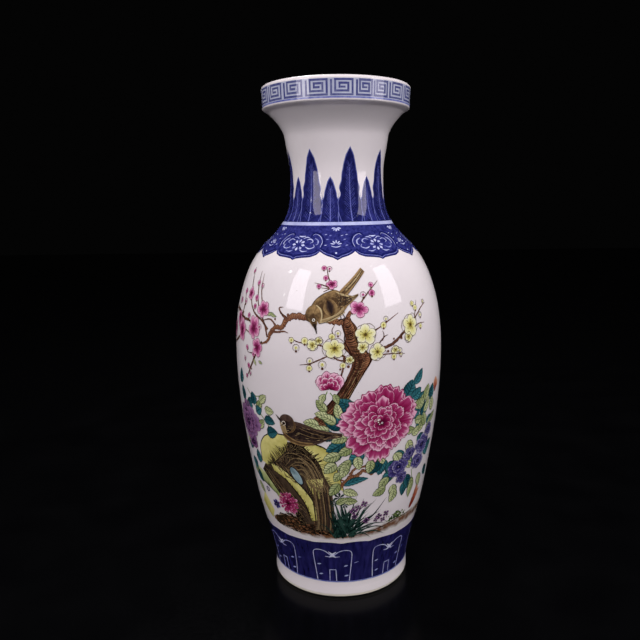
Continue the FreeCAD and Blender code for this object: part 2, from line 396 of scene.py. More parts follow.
    def lay(self):
        """Wrap the brushwork on the glaze, with the glaze's own normals."""
        pairs = [on_glaze(*spot) for spot in self.spots]
        mesh = bpy.data.meshes.new(self.name)
        mesh.from_pydata([point for point, _ in pairs], [], self.faces)
        order = [k for face in self.faces for k in face]
        sheet = self.pack()
        bake = mesh.uv_layers.new(name="OFBake")
        bake.data.foreach_set("uv", [value for k in order for value in sheet[k]])
        brush = mesh.uv_layers.new(name="Brush")
        brush.data.foreach_set("uv", [value for k in order
                                      for value in (self.brush[k][0], self.brush[k][1])])
        for name, values in (("Tone", self.tones), ("Reach", [b[2] for b in self.brush])):
            layer = mesh.attributes.new(name, "FLOAT", "POINT")
            layer.data.foreach_set("value", values)
        mesh.shade_smooth()
        mesh.normals_split_custom_set_from_vertices([normal for _, normal in pairs])
        mesh.materials.append(self.material)
        piece = bpy.data.objects.new(self.name, mesh)
        bpy.context.collection.objects.link(piece)
        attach(piece, "root")
        return piece


class Finish:
    """Material under way: its nodes, and the place of each point on the vase in metres."""

    def __init__(self, name):
        self.material = bpy.data.materials.new(name)
        self.material.use_nodes = True
        self.tree = self.material.node_tree
        self.tree.nodes.clear()
        self.here = self.add("TexCoord", None, "Object")

    def add(self, kind, settings, result=0):
        """One result of a new node."""
        return add_node(self.tree, kind, settings).outputs[result]

    def fire(self, colour, roughness, ior=GLASS_IOR, relief=None, relief_mm=0.0):
        """Close the material with its gloss and, where it has one, its relief."""
        settings = {"Base Color": colour, "Roughness": roughness, "IOR": ior}
        if relief is not None:
            settings["Normal"] = self.add("Bump", {"Height": relief, "Distance": relief_mm * MM})
        shader = self.add("BsdfPrincipled", settings)
        add_node(self.tree, "OutputMaterial", {"Surface": shader})
        return self.material


class Paint(Finish):
    """Painted finish, which also knows where each point lies in its own brushstroke."""

    def __init__(self, name):
        super().__init__(name)
        parts = self.add("SeparateXYZ", {"Vector": self.add("UVMap", {"uv_map": "Brush"})})
        self.along, self.across = parts, parts.node.outputs["Y"]
        self.edge = self.add("Math", {"operation": "ABSOLUTE", 0: self.across})
        self.tone = self.add("Attribute", {"attribute_name": "Tone"}, "Fac")
        reach = self.add("Attribute", {"attribute_name": "Reach"}, "Fac")
        self.length = self.add("Math", {"operation": "MULTIPLY", 0: self.along, 1: reach})


def porcelain_glaze(name, pale, shade):
    """Clear glaze fired on white porcelain: wet gloss, faint clouds, iron specks, orange peel."""
    finish = Finish(name)
    add, here = finish.add, finish.here
    clouds = add("TexNoise", {"Vector": here, "Scale": to_a_metre(45), "Detail": 3.0})
    tint = add("ValToRGB", {"Fac": clouds, "stops": [(0.3, shade), (0.7, pale)]})
    specks = add("TexNoise", {"Vector": here, "Scale": to_a_metre(2.2), "Detail": 1.0})
    iron = add("MapRange", {"Value": specks, "From Min": 0.79, "From Max": 0.83, "To Max": 0.35})
    colour = add("Mix", {"data_type": "RGBA", 0: iron, 6: tint, 7: "#8d7d6b"}, 2)
    waves = add("TexNoise", {"Vector": here, "Scale": to_a_metre(7), "Detail": 2.0})
    pools = add("TexNoise", {"Vector": here, "Scale": to_a_metre(12), "Detail": 2.0})
    roughness = add("Math", {"operation": "MULTIPLY_ADD", 0: pools, 1: 0.04, 2: 0.025})
    return finish.fire(colour, roughness, 1.53, waves, 0.012)


def biscuit(name, pale, shade):
    """Bare fired clay where the glaze was wiped off: matt, fine grit and wheel lines."""
    finish = Finish(name)
    add = finish.add
    flat = add("Mapping", {"Vector": finish.here, "Scale": (0.15, 0.15, 4.0)})
    rings = add("TexNoise", {"Vector": flat, "Scale": to_a_metre(1.6), "Detail": 3.0})
    grit = add("TexNoise", {"Vector": finish.here, "Scale": to_a_metre(0.8), "Detail": 3.0})
    half_grit = add("Math", {"operation": "MULTIPLY", 0: grit, 1: 0.5})
    blend = add("Math", {"operation": "MULTIPLY_ADD", 0: rings, 1: 0.5, 2: half_grit})
    colour = add("ValToRGB", {"Fac": blend, "stops": [(0.35, shade), (0.65, pale)]})
    return finish.fire(colour, 0.75, 1.45, blend, 0.08)


def brushed_wash(name, thin, full, pooled, wash_mm, pool, roughness=0.05, squeeze=(1, 1, 1)):
    """Colour laid wet with a brush: cloudy where thin, and darker where it pooled at its edge."""
    paint = Paint(name)
    add = paint.add
    spots = add("Mapping", {"Vector": paint.here, "Scale": squeeze})
    cloud = add("TexNoise", {"Vector": spots, "Scale": to_a_metre(wash_mm), "Detail": 3.0})
    base = add("Math", {"operation": "SUBTRACT", 0: paint.tone, 1: 0.8})
    wash = add("Math", {"operation": "MULTIPLY_ADD", 0: cloud, 1: 1.6, 2: base})
    body = add("ValToRGB", {"Fac": wash, "stops": [(0.05, thin), (0.75, full)]})
    rim = add("MapRange", {"Value": paint.edge, "From Min": 0.6, "To Max": pool})
    colour = add("Mix", {"data_type": "RGBA", 0: rim, 6: body, 7: pooled}, 2)
    return paint.fire(colour, roughness)


# An edge that turns more than this stays sharp, and the lathe's ring has this many sides
SHARP_DEGREES = 40
RING_SIDES = 360


def lathe(name, section, segments, material):
    """Closed ring turned from a closed section of (radius, height) points in millimetres."""
    lengths = [0.0]
    for a, b in zip(section, section[1:] + section[:1]):
        lengths.append(lengths[-1] + math.dist(a, b))
    points = []
    for radius, height in section:
        for j in range(segments):
            angle = 2 * math.pi * j / segments
            points.append((radius * math.sin(angle) * MM, -radius * math.cos(angle) * MM, height * MM))
    faces, sheet = [], []
    count = len(section)
    for i in range(count):
        for j in range(segments):
            a, b = i * segments, ((i + 1) % count) * segments
            after = (j + 1) % segments
            faces.append((a + j, a + after, b + after, b + j))
            low, high = lengths[i] / lengths[-1], lengths[i + 1] / lengths[-1]
            left, right = j / segments, (j + 1) / segments
            sheet += [left, low, right, low, right, high, left, high]
    mesh = bpy.data.meshes.new(name)
    mesh.from_pydata(points, [], faces)
    mesh.uv_layers.new(name="OFBake").data.foreach_set("uv", sheet)
    mesh.shade_smooth()
    mesh.set_sharp_from_angle(angle=math.radians(SHARP_DEGREES))
    mesh.materials.append(material)
    piece = bpy.data.objects.new(name, mesh)
    bpy.context.collection.objects.link(piece)
    return piece


def glaze_section():
    """Closed section of the outer glaze, from the glaze line up to the crest of the lip and back."""
    longest_mm, most_degrees = 3.0, 3.0
    outside = []
    for below, above in zip(OUTLINE, OUTLINE[1:]):
        rise = above[0] - below[0]
        turn = abs(math.atan(above[2]) - math.atan(below[2]))
        steps = math.ceil(max(rise / longest_mm, math.degrees(turn) / most_degrees))
        for i in range(steps):
            height = below[0] + rise * i / steps
            outside.append((outline_at(height)[0], height))
    half = WALL / 2
    crest, under = ([(LIP_RADIUS - half + reach * math.cos(math.radians(a)),
                      SPRING_HEIGHT + reach * math.sin(math.radians(a))) for a in ways]
                    for reach, ways in ((half, range(0, 91, 10)), (half - GLAZE, range(90, -1, -15))))
    inside = [(radius - GLAZE, height) for radius, height in outside[::2][::-1]]
    return outside + crest + under + inside


outer_glaze_material = porcelain_glaze("clear_glaze_on_white_porcelain", "#ded5da", "#d8ced4")
inner_glaze_material = porcelain_glaze("clear_glaze_inside", "#d9d3d2", "#d2cbcb")
biscuit_material = biscuit("wiped_biscuit_porcelain", "#d9d2c8", "#cdc3b6")
slip_material = biscuit("fired_porcelain_slip", "#d2c8ba", "#c2b6a6")

outer_glaze = lathe("outer_glaze_coat", glaze_section(), RING_SIDES, outer_glaze_material)
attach(outer_glaze, "root")
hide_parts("outer_glaze")

CARRIED_OVER = {
    "foot_section": biscuit_material,
    "belly_section": biscuit_material,
    "shoulder_section": biscuit_material,
    "neck_section": biscuit_material,
    "mouth_section": biscuit_material,
    "lower_seam_slip": slip_material,
    "belly_seam_slip": slip_material,
    "neck_root_slip": slip_material,
    "neck_top_slip": slip_material,
    "inner_glaze": inner_glaze_material,
    "base_glaze": inner_glaze_material,
}
for node, material in CARRIED_OVER.items():
    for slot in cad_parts[node].material_slots:
        slot.link = "OBJECT"
        slot.material = material


def make_fret_band():
    """Squared spirals round the collar, closed by one squeezed pair where the band meets itself."""
    # The collar's faint wash is cobalt, deepened and greyed past its own colour as painted shade on the
    # dish
    wash = Film("collar_wash_and_painted_shade", faint_blue_wash_and_painted_shade)
    wash.band(level_edge(403.4), level_edge(417.3), 0, 0.5, 12)
    wash.lay()
    # Fret lines are cobalt, made darker than their own colour as painted shade on the dish
    fret = Film("collar_fret_and_painted_shade", fret_blue_and_painted_shade)
    top, bottom, line = 416.2, 405.6, 1.55
    full, squeezed = 15.8, 11.9
    regular = [4.3, 346.3] + [50 + 18.52 * k for k in range(16)]
    units = [(angle, full) for angle in regular] + [(20.6, squeezed), (34.0, squeezed)]
    for angle, width in units:
        w, h = width / 2, top - bottom
        path = [(-w, h), (-w, 0), (w, 0), (w, h), (-0.62 * w, h), (-0.62 * w, 0.25 * h),
                (0.6 * w, 0.25 * h), (0.6 * w, 0.76 * h), (-0.22 * w, 0.76 * h),
                (-0.22 * w, 0.5 * h), (0.24 * w, 0.5 * h)]
        for i, (a, b) in enumerate(zip(path, path[1:])):
            length = math.dist(a, b)
            along = ((b[0] - a[0]) / length, (b[1] - a[1]) / length)
            start = (a[0] + along[0] * line / 2, a[1] + along[1] * line / 2) if i else a
            end = (b[0] + along[0] * line / 2, b[1] + along[1] * line / 2)
            origin = (at_angle(angle), bottom)
            fret.stroke([place(origin, *start), place(origin, *end)],
                        [line * uniform(0.88, 1.08)] * 2, 2, uniform(0.35, 0.75))
    fret.lay()
    thin_line = Film("collar_thin_line", pale_blue_wash)
    thin_line.band(level_edge(403.2), level_edge(404.4), 2)
    thin_line.lay()


def flame(angle, foot, tip, widths, wave):
    """Two wavy edges of a blade that stands on a ring, from its foot up to its tip."""
    left, right, steps = [], [], 26
    for i in range(steps + 1):
        share = i / steps
        height = foot + (tip - foot) * share
        half = blend_along(widths, share)
        ripple = wave * math.sin(share * 9.5 * math.pi) * math.sin(math.pi * min(1, share * 1.4)) ** 2
        origin = (at_angle(angle), height)
        left.append(place(origin, -max(0, half + ripple), 0))
        right.append(place(origin, max(0, half + ripple * 0.8), 0))
    return left, right


def make_leaf_band():
    """Tall and short plantain leaves round the neck, standing on a pale ring."""
    halo = Film("neck_leaf_halo", pale_blue_wash)
    leaves = Film("neck_leaves", leaf_cobalt)
    ribs = Film("neck_leaf_ribs", scratched_blue)
    ring = Film("neck_ring", ring_lilac)
    foot = 312.4
    tall = [10.6, 10.0, 9.2, 8.4, 7.6, 6.7, 5.7, 4.5, 2.9, 0.0]
    short = [9.6, 8.6, 7.7, 6.8, 6.0, 5.1, 4.2, 3.1, 1.8, 0.0]
    for k in range(8):
        for angle, tip, widths, level in ((15 + 45 * k, 369.6, tall, 4),
                                          (-7.5 + 45 * k, 347, short, 0)):
            shift = uniform(-1.0, 1.0) if k else 0.0
            reach = tip + (uniform(-1.5, 1.0) if k else 0.0)
            wide = [w + 0.5 if w else 0.0 for w in widths]
            halo.between(*flame(angle + shift, foot, reach + 0.9, wide, 0.9), level, 0.6)
            leaves.between(*flame(angle + shift, foot, reach, widths, 0.7), level + 2,
                           uniform(0.4, 0.7))
            rise = (reach - foot) * 0.74
            base = at_angle(angle + shift)
            ribs.stroke([(base + 0.8, foot + 0.5), (base, foot + rise / 2), (base - 0.3, foot + rise)],
                        [0.9, 0.7, 0.3], level + 4, 0.6, 1, 0.9)
            veins = 22 if level else 13
            for i in range(veins):
                share = (i + 0.6) / (veins + 1.5)
                spread = blend_along(widths, share * 0.8 + 0.12) * 0.72
                start = foot + (reach - foot) * share * 0.82
                for side in (-1, 1):
                    tip_height = start + uniform(3.6, 5.4)
                    ribs.stroke([(base, start), (base + side * spread * 1.6, tip_height)],
                                [0.36, 0.2], level + 3, uniform(0.1, 0.4), 1, 0.8)
        for side in (-1, 1):
            angle = -7.5 + 45 * k + side * 9.2
            foot_spot = at_angle(angle + side * 2.6)
            ribs.stroke([(foot_spot, foot + 0.4), (at_angle(angle), foot + 8),
                         (at_angle(angle - side * 0.3), foot + 17), (at_angle(angle + side), foot + 23)],
                        [0.6, 0.5, 0.4, 0.2], 9, 0.4, 1, 0.9)
    ring.band(level_edge(309.9), level_edge(foot), 10)
    for film in (halo, leaves, ribs, ring):
        film.lay()


def ruyi_edge(angle):
    """Height of the collar's lower edge: six broad lobes with pointed lobes between them."""
    broad = [(0, 284.4), (2, 285.5), (6, 286.1), (12, 286.7), (16, 288.4), (18, 290.8)]
    narrow = [(0, 284.6), (3, 286.4), (6.5, 287.5), (9.5, 289.0), (12, 290.8)]
    around = (angle + 30) % 60
    off, lobe = (min(around, 60 - around), broad)
    if off > 18:
        off, lobe = abs(30 - around), narrow
    for (a, low), (b, high) in zip(lobe, lobe[1:]):
        if off <= b:
            return low + (high - low) * (off - a) / (b - a)
    return lobe[-1][1]


def make_lotus(dark, pale, origin):
    """Lotus between two scrolls, scratched out of one broad lobe of the collar."""
    for side in (-1, 1):
        scroll = [place(origin, side * x, y) for x, y in
                  ((19.5, -4.0), (20.5, 2.5), (17.5, 8.5), (12, 11.0), (8.5, 8.5), (9.5, 5.5),
                   (12.0, 6.0))]
        dark.stroke(scroll, [1.2, 1.8, 1.5, 0.7], 3, 0.6, 1, 1.0)
        rim = [place(origin, side * x, y) for x, y in
               ((18.2, -3.6), (19.2, 2.0), (16.6, 7.4), (12, 9.8), (9.8, 8.2))]
        pale.stroke(rim, [0.35, 0.55, 0.45, 0.2], 4, 0.5, 1, 1.0)
    pale.stroke([place(origin, -3.4, 7.6), place(origin, 0, 7.0), place(origin, 3.4, 7.6)],
                [0.5, 1.5, 0.5], 4, 0.9, 1, 1.0)
    flower = place(origin, 0, -1.5)
    for turn in range(0, 360, 45):
        pale.fan(at_way(flower, 2.2, turn), 0.2, [2.2, 3.6, 2.4], 62, turn + 8, 4,
                 uniform(0.4, 0.95))
    for side in (-1, 1):
        for curl in (((5.5, 3.5), (9, 4.5), (11.5, 2.0), (9.5, 0.2)),
                     ((6.5, -3.5), (10, -5.2), (13.5, -3.5), (12.6, -1.0)),
                     ((12.5, 5.5), (15.5, 3.0), (15.8, -0.5), (14.2, -1.5)),
                     ((2.0, 4.6), (4.5, 6.4), (7.5, 6.0)), ((2.5, -6.5), (5.5, -8.2), (9.0, -7.6))):
            pale.stroke([place(origin, side * x, y) for x, y in curl],
                        [0.3, uniform(0.8, 1.3), 0.9, 0.3], 4, uniform(0.2, 0.7), 1, 0.7)


def make_palmette(pale, origin):
    """Small palmette in a pointed lobe, with a half rosette above it."""
    for turn in (-75, -38, 0, 38, 75):
        pale.fan(place(origin, 0, -1.0), 1.4, [3.0, 4.8, 3.0], 22, turn, 4, 0.9)
    pale.stroke([place(origin, -3.6, -2.4), place(origin, 0, -3.6), place(origin, 3.6, -2.4)],
                [0.4, 1.0, 0.4], 4, 0.6, 1, 0.8)
    pale.disc(place(origin, 0, -9.5), 0.8, 4, 0.8)
    for turn in (-70, -35, 0, 35, 70):
        pale.fan(place(origin, 0, 17.0), 1.0, [2.8, 4.0, 2.8], 30, 180 + turn, 4, 0.6)
    for x, y in ((-7, 4), (7, 4), (-8, -2), (8, -2), (-5, 8), (5, 8), (-9, 9), (9, 9)):
        pale.stroke([place(origin, x - 1.1, y), place(origin, x + 1.1, y + 0.6)], [0.3, 0.9, 0.2],
                    4, uniform(0.2, 0.6), 1, 0.8)


def make_ruyi_collar():
    """Cloud collar on the shoulder, with a lotus in each broad lobe."""
    ground = Film("collar_ground", ruyi_blue)
    dark = Film("collar_dark_lines", dark_cobalt_line)
    pale = Film("collar_pale_lines", reserve_white)
    ground.band(ruyi_edge, level_edge(310.0), 0, 0.5, 12)
    for k in range(6):
        for middle, reach, broad in ((-30 + 60 * k, 17.0, True), (60 * k - 1, 11.0, False)):
            edge = [(at_angle(middle + off), ruyi_edge(middle + off)) for off in
                    [reach * s / 8 for s in range(-8, 9)]]
            for film, above, widths, tone in ((dark, 0.5, [0.6, 0.8, 0.6], 0.5),
                                              (dark, 2.6, [1.2, 1.7, 1.2], 0.6),
                                              (pale, 1.45, [0.3, 0.4, 0.3], 0.2)):
                film.stroke([(a, h + above) for a, h in edge], widths, 3, tone, 1, 1.0)
            origin = (at_angle(middle), 296.5)
            if broad:
                make_lotus(dark, pale, origin)
            else:
                make_palmette(pale, origin)
    for film in (ground, dark, pale):
        film.lay()


def foot_band_top(angle):
    """Scalloped upper edge of the foot band, a little uneven as it was painted."""
    wave = abs(math.sin(math.radians(angle * 9)))
    return 53.6 + 0.8 * wave + 0.5 * math.sin(math.radians(angle * 4 + 40)) * wave


def make_foot_band():
    """Broad cobalt band above the foot, with eight arched lappets."""
    wash = Film("foot_wash", foot_cobalt)
    lines = Film("foot_lappets", scratched_white)
    smudges = Film("foot_smudges", pale_blue_wash)
    under_line = Film("foot_thin_line", pale_blue_wash)
    wash.band(level_edge(15.1), foot_band_top, 0, 0.5, 12)
    under_line.band(level_edge(14.0), level_edge(15.2), 1)
    for k in range(8):
        origin = (at_angle(-6.5 + 45 * k), 15.6)
        for side in (-1, 1):
            arch = [place(origin, side * x, y) for x, y in
                    ((13.4, 0), (14.2, 10), (14.8, 20), (14.9, 27.5), (13.4, 30.4), (9.8, 31.2),
                     (5.6, 30.0), (2.8, 27.6), (0.6, 25.6), (-2.2, 24.4), (-5.8, 24.6))]
            lines.stroke(arch, [0.7, 0.65, 0.7, 0.65, 0.6, 0.7, 0.9, 1.4, 0.3], 2 + side, 0.45, 1, 1.0)
            lines.stroke([place(origin, side * 2.9, 29.6), place(origin, 0, 26.8),
                          place(origin, -side * 2.4, 23.6)], [0.4, 2.0, 0.3], 4, 0.85, 1)
        door = [(-2.8, 0), (-2.6, 11), (2.4, 11.2), (2.8, 0)]
        for a, b in zip(door, door[1:]):
            lines.stroke([place(origin, *a), place(origin, *b)], [0.7, 0.7], 2, 0.35, 1, 1.0)
        for x, y in ((-11, 16), (10.5, 15), (-10, 6), (11, 5)):
            smudges.stroke([place(origin, x - 1.6, y - 0.3), place(origin, x + 1.6, y + 0.5)],
                           [0.6, 1.8, 0.5], 2, 0.1, 2, 1.0)
        smudges.stroke([place(origin, 17, 17.5), place(origin, 20.5, 18.6)], [0.5, 0.9, 0.3], 2, 0.5,
                       1, 1.0)
    for film in (wash, smudges, lines, under_line):
        film.lay()


# Cobalt fired under the glaze: flat violet-blue, cloudy where the brush was wet, never in relief
# Fret lines: real cobalt, deepened as painted shade on the dish
fret_blue_and_painted_shade = brushed_wash("underglaze_cobalt_fret_and_painted_shade", "#666990", "#43467c", "#383b6e", 3.0, 0.4)
pale_blue_wash = brushed_wash("underglaze_cobalt_thin_wash", "#989dca", "#5a60a6", "#4f559a", 4.0, 0.4)
# Faint collar wash: real cobalt, made darker and greyer as painted shade on the dish
faint_blue_wash_and_painted_shade = brushed_wash("underglaze_cobalt_faint_wash_and_painted_shade", "#bbbccf", "#a4a6c1", "#9093b4", 9.0, 0.3)
ring_lilac = brushed_wash("underglaze_cobalt_pale_ring", "#bcbee2", "#a4a7d6", "#8a8dc4", 6.0, 0.5)
dark_cobalt_line = brushed_wash("underglaze_cobalt_line", "#232569", "#15174c", "#131441", 3.0, 0.3)
ruyi_blue = brushed_wash("underglaze_cobalt_collar_wash", "#3a3d86", "#1c1e5b", "#16184d", 2.2, 0.2)
leaf_cobalt = brushed_wash("underglaze_cobalt_leaves", "#2c2e74", "#161848", "#1b1d58", 3.5, 0.5)
foot_cobalt = brushed_wash("underglaze_cobalt_foot_wash", "#2a2764", "#13123f", "#101035", 3.0, 0.2,
                           0.05, (1, 1, 0.12))
# Lines scratched through the cobalt before glazing: the white body shows, blurred by the glaze
reserve_white = brushed_wash("line_scratched_through_cobalt", "#646ab0", "#b7b9e0", "#767abb", 3.0, 0.3)
scratched_white = brushed_wash("thin_line_scratched_through_cobalt", "#7479bb", "#cdcde4", "#9094c6",
                               3.0, 0.3)
scratched_blue = brushed_wash("shallow_line_scratched_in_cobalt", "#3b3f8c", "#6a6eb4", "#454997", 3.0,
                              0.3)

make_fret_band()
make_leaf_band()
make_ruyi_collar()
make_foot_band()


def petal_enamel(name, stops, streak=0.35):
    """Opaque enamel petal: deep at its heart, brushed out pale towards the rim in fine streaks."""
    paint = Paint(name)
    add = paint.add
    side = add("Math", {"operation": "MULTIPLY", 0: paint.across, 1: 5.0})
    petal = add("Math", {"operation": "MULTIPLY", 0: paint.tone, 1: 40.0})
    fibre = add("CombineXYZ", {"X": side, "Y": paint.along, "Z": petal})
    streaks = add("TexNoise", {"Vector": fibre, "Scale": 1.0, "Detail": 2.0})
    shade = add("Math", {"operation": "MULTIPLY_ADD", 0: paint.tone, 1: 0.3, 2: -0.15 - streak})
    start = add("Math", {"operation": "ADD", 0: shade, 1: paint.along})
    share = add("Math", {"operation": "MULTIPLY_ADD", 0: streaks, 1: streak * 2, 2: start})
    colour = add("ValToRGB", {"Fac": share, "stops": stops})
    return paint.fire(colour, 0.12)


def leaf_enamel(name, light, deep, vein, ribs=6.0):
    """Enamel over a pencilled leaf: one half darker, with a midrib and side veins showing through."""
    paint = Paint(name)
    add = paint.add
    cloud = add("TexNoise", {"Vector": paint.here, "Scale": to_a_metre(4), "Detail": 2.0})
    base = add("Math", {"operation": "SUBTRACT", 0: paint.tone, 1: 0.45})
    patchy = add("Math", {"operation": "MULTIPLY_ADD", 0: cloud, 1: 0.9, 2: base})
    halves = add("Math", {"operation": "MULTIPLY_ADD", 0: paint.across, 1: 0.35, 2: patchy})
    body = add("ValToRGB", {"Fac": halves, "stops": [(0.1, deep), (0.85, light)]})
    climb = add("Math", {"operation": "MULTIPLY", 0: paint.along, 1: ribs})
    slant = add("Math", {"operation": "MULTIPLY_ADD", 0: paint.edge, 1: -1.3, 2: climb})
    saw = add("Math", {"operation": "PINGPONG", 0: slant, 1: 0.5})
    side_veins = add("MapRange", {"Value": saw, "From Min": 0.24, "From Max": 0.08, "To Max": 0.9})
    midrib = add("MapRange", {"Value": paint.edge, "From Min": 0.15, "From Max": 0.05})
    rim = add("MapRange", {"Value": paint.edge, "From Min": 0.8, "From Max": 0.95})
    veins = add("Math", {"operation": "MAXIMUM", 0: side_veins, 1: midrib})
    lines = add("Math", {"operation": "MAXIMUM", 0: veins, 1: rim})
    share = add("Math", {"operation": "MULTIPLY", 0: lines, 1: 0.85})
    colour = add("Mix", {"data_type": "RGBA", 0: share, 6: body, 7: vein}, 2)
    return paint.fire(colour, 0.12)


def bark_enamel(name, light, deep, line):
    """Iron-brown bark: pencilled rings that bow across the limb, under a thin brown wash."""
    paint = Paint(name)
    add = paint.add
    ring_mm = 1.7
    bow = add("Math", {"operation": "MULTIPLY", 0: paint.across, 1: paint.across})
    twist = add("TexNoise", {"Vector": paint.here, "Scale": to_a_metre(5), "Detail": 3.0})
    bent = add("Math", {"operation": "MULTIPLY_ADD", 0: twist, 1: 2.6, 2: bow})
    path = add("Math", {"operation": "MULTIPLY_ADD", 0: paint.length, 1: 1 / ring_mm, 2: bent})
    saw = add("Math", {"operation": "PINGPONG", 0: path, 1: 0.5})
    rings = add("MapRange", {"Value": saw, "From Min": 0.26, "From Max": 0.1, "To Max": 0.8})
    cloud = add("TexNoise", {"Vector": paint.here, "Scale": to_a_metre(3.5), "Detail": 3.0})
    run = add("Math", {"operation": "MULTIPLY", 0: paint.length, 1: 0.22})
    side_step = add("Math", {"operation": "MULTIPLY", 0: paint.across, 1: 4.0})
    fibre = add("CombineXYZ", {"X": run, "Y": side_step})
    strands = add("TexNoise", {"Vector": fibre, "Scale": 1.0, "Detail": 3.0})
    half_cloud = add("Math", {"operation": "MULTIPLY", 0: cloud, 1: 0.5})
    mottle = add("Math", {"operation": "MULTIPLY_ADD", 0: strands, 1: 0.8, 2: half_cloud})
    side = add("Math", {"operation": "MULTIPLY_ADD", 0: paint.across, 1: 0.2, 2: mottle})
    wash = add("ValToRGB", {"Fac": side, "stops": [(0.42, deep), (0.9, light)]})
    rim = add("MapRange", {"Value": paint.edge, "From Min": 0.68, "From Max": 0.9})
    lines = add("Math", {"operation": "MAXIMUM", 0: rings, 1: rim})
    colour = add("Mix", {"data_type": "RGBA", 0: lines, 6: wash, 7: line}, 2)
    return paint.fire(colour, 0.14)


def rock_enamel(name, bright, mid, hatch, hair, line_mm, cover):
    """Garden rock: yellow enamel on its outer rim, lost under brown hatching towards the inside."""
    paint = Paint(name)
    add = paint.add
    drift = add("Math", {"operation": "MULTIPLY", 0: paint.across, 1: 1.2})
    steps = add("Math", {"operation": "MULTIPLY_ADD", 0: paint.length, 1: 1 / line_mm, 2: drift})
    fibre = add("CombineXYZ", {"X": steps, "Y": paint.across})
    streaks = add("TexNoise", {"Vector": fibre, "Scale": 1.0, "Detail": 3.0})
    cloud = add("TexNoise", {"Vector": paint.here, "Scale": to_a_metre(6), "Detail": 2.0})
    warm = add("Math", {"operation": "MULTIPLY_ADD", 0: paint.across, 1: 0.3, 2: cloud})
    body = add("ValToRGB", {"Fac": warm, "stops": [(0.3, mid), (0.75, bright)]})
    shade = add("Math", {"operation": "MULTIPLY_ADD", 0: paint.across, 1: -0.5, 2: cover - 0.85})
    inner = add("Math", {"operation": "MULTIPLY_ADD", 0: streaks, 1: 1.7, 2: shade})
    dark = add("MapRange", {"Value": inner, "From Min": 0.15, "From Max": 0.5})
    shaded = add("Mix", {"data_type": "RGBA", 0: dark, 6: body, 7: hatch}, 2)
    twist = add("TexNoise", {"Vector": paint.here, "Scale": to_a_metre(9), "Detail": 2.0})
    swirl = add("Math", {"operation": "MULTIPLY_ADD", 0: twist, 1: 11.0, 2: paint.across})
    saw = add("Math", {"operation": "PINGPONG", 0: swirl, 1: 0.5})
    hairs = add("MapRange", {"Value": saw, "From Min": 0.12, "From Max": 0.03})
    on_dark = add("Math", {"operation": "MULTIPLY", 0: hairs, 1: dark})
    colour = add("Mix", {"data_type": "RGBA", 0: on_dark, 6: shaded, 7: hair}, 2)
    return paint.fire(colour, 0.14)


def plumage(name, back, flank, line):
    """Bird in soft brown enamel: dark along the back, paler at the flanks, with fine barbs."""
    paint = Paint(name)
    add = paint.add
    run = add("Math", {"operation": "MULTIPLY", 0: paint.length, 1: 0.5})
    side = add("Math", {"operation": "MULTIPLY", 0: paint.across, 1: 7.0})
    fibre = add("CombineXYZ", {"X": run, "Y": side})
    barbs = add("TexNoise", {"Vector": fibre, "Scale": 1.0, "Detail": 3.0})
    cloud = add("TexNoise", {"Vector": paint.here, "Scale": to_a_metre(5), "Detail": 1.0})
    mottle = add("Math", {"operation": "MULTIPLY_ADD", 0: cloud, 1: 0.6, 2: -1.15})
    base = add("Math", {"operation": "ADD", 0: paint.tone, 1: mottle})
    pale_edge = add("Math", {"operation": "MULTIPLY_ADD", 0: paint.edge, 1: 0.65, 2: base})
    share = add("Math", {"operation": "MULTIPLY_ADD", 0: barbs, 1: 0.7, 2: pale_edge})
    body = add("ValToRGB", {"Fac": share, "stops": [(0.1, back), (0.8, flank)]})
    rim = add("MapRange", {"Value": paint.edge, "From Min": 0.9, "To Max": 0.6})
    colour = add("Mix", {"data_type": "RGBA", 0: rim, 6: body, 7: line}, 2)
    return paint.fire(colour, 0.16)


def faded_wash(name, full):
    """Thin colour rubbed out at its edges into the white of the glaze."""
    paint = Paint(name)
    add = paint.add
    white, wash_mm = "#dad4d5", 5.0
    cloud = add("TexNoise", {"Vector": paint.here, "Scale": to_a_metre(wash_mm), "Detail": 3.0})
    wash = add("Math", {"operation": "MULTIPLY_ADD", 0: cloud, 1: 1.1, 2: paint.tone})
    square = add("Math", {"operation": "MULTIPLY", 0: paint.edge, 1: paint.edge})
    keep = add("Math", {"operation": "SUBTRACT", 0: wash, 1: square})
    colour = add("ValToRGB", {"Fac": keep, "stops": [(0.05, white), (0.8, full)]})
    return paint.fire(colour, 0.1)


def line_enamel(name, pale, dark):
    """Pencil line, thinner and paler where the brush ran dry."""
    paint = Paint(name)
    add = paint.add
    cloud = add("TexNoise", {"Vector": paint.here, "Scale": to_a_metre(2.5), "Detail": 2.0})
    base = add("Math", {"operation": "SUBTRACT", 0: paint.tone, 1: 0.5})
    share = add("Math", {"operation": "MULTIPLY_ADD", 0: cloud, 1: 0.8, 2: base})
    colour = add("ValToRGB", {"Fac": share, "stops": [(0.1, dark), (0.8, pale)]})
    return paint.fire(colour, 0.14)


# Overglaze enamels: lead glass coloured with metal oxides, so glossy, opaque and brush-streaked
bark_brown = bark_enamel("iron_brown_bark_enamel", "#a06f4f", "#6b3f30", "#40231a")
twig_brown = brushed_wash("iron_brown_twig_enamel", "#7d5140", "#46291f", "#2b1712", 3.0, 0.6, 0.14)
crimson_line = line_enamel("crimson_pencil_line", "#8c2f5a", "#551433")
ink_line = line_enamel("iron_black_pencil_line", "#463630", "#1e1614")
bark_line = line_enamel("umber_pencil_line", "#4d3024", "#2d1812")
green_line = line_enamel("green_black_pencil_line", "#3c5236", "#182a1e")
ochre_line = line_enamel("ochre_pencil_line", "#7d6c38", "#4b3a1c")
frill_white = line_enamel("white_enamel_frill", "#ecc9d9", "#d79bb8")
hair_tan = line_enamel("tan_pencil_line", "#9a8360", "#5f4832")
plum_pink = petal_enamel("rose_enamel_plum_petals",
                         [(0.1, "#5f0f38"), (0.52, "#ad4a80"), (0.96, "#dca5c2")])
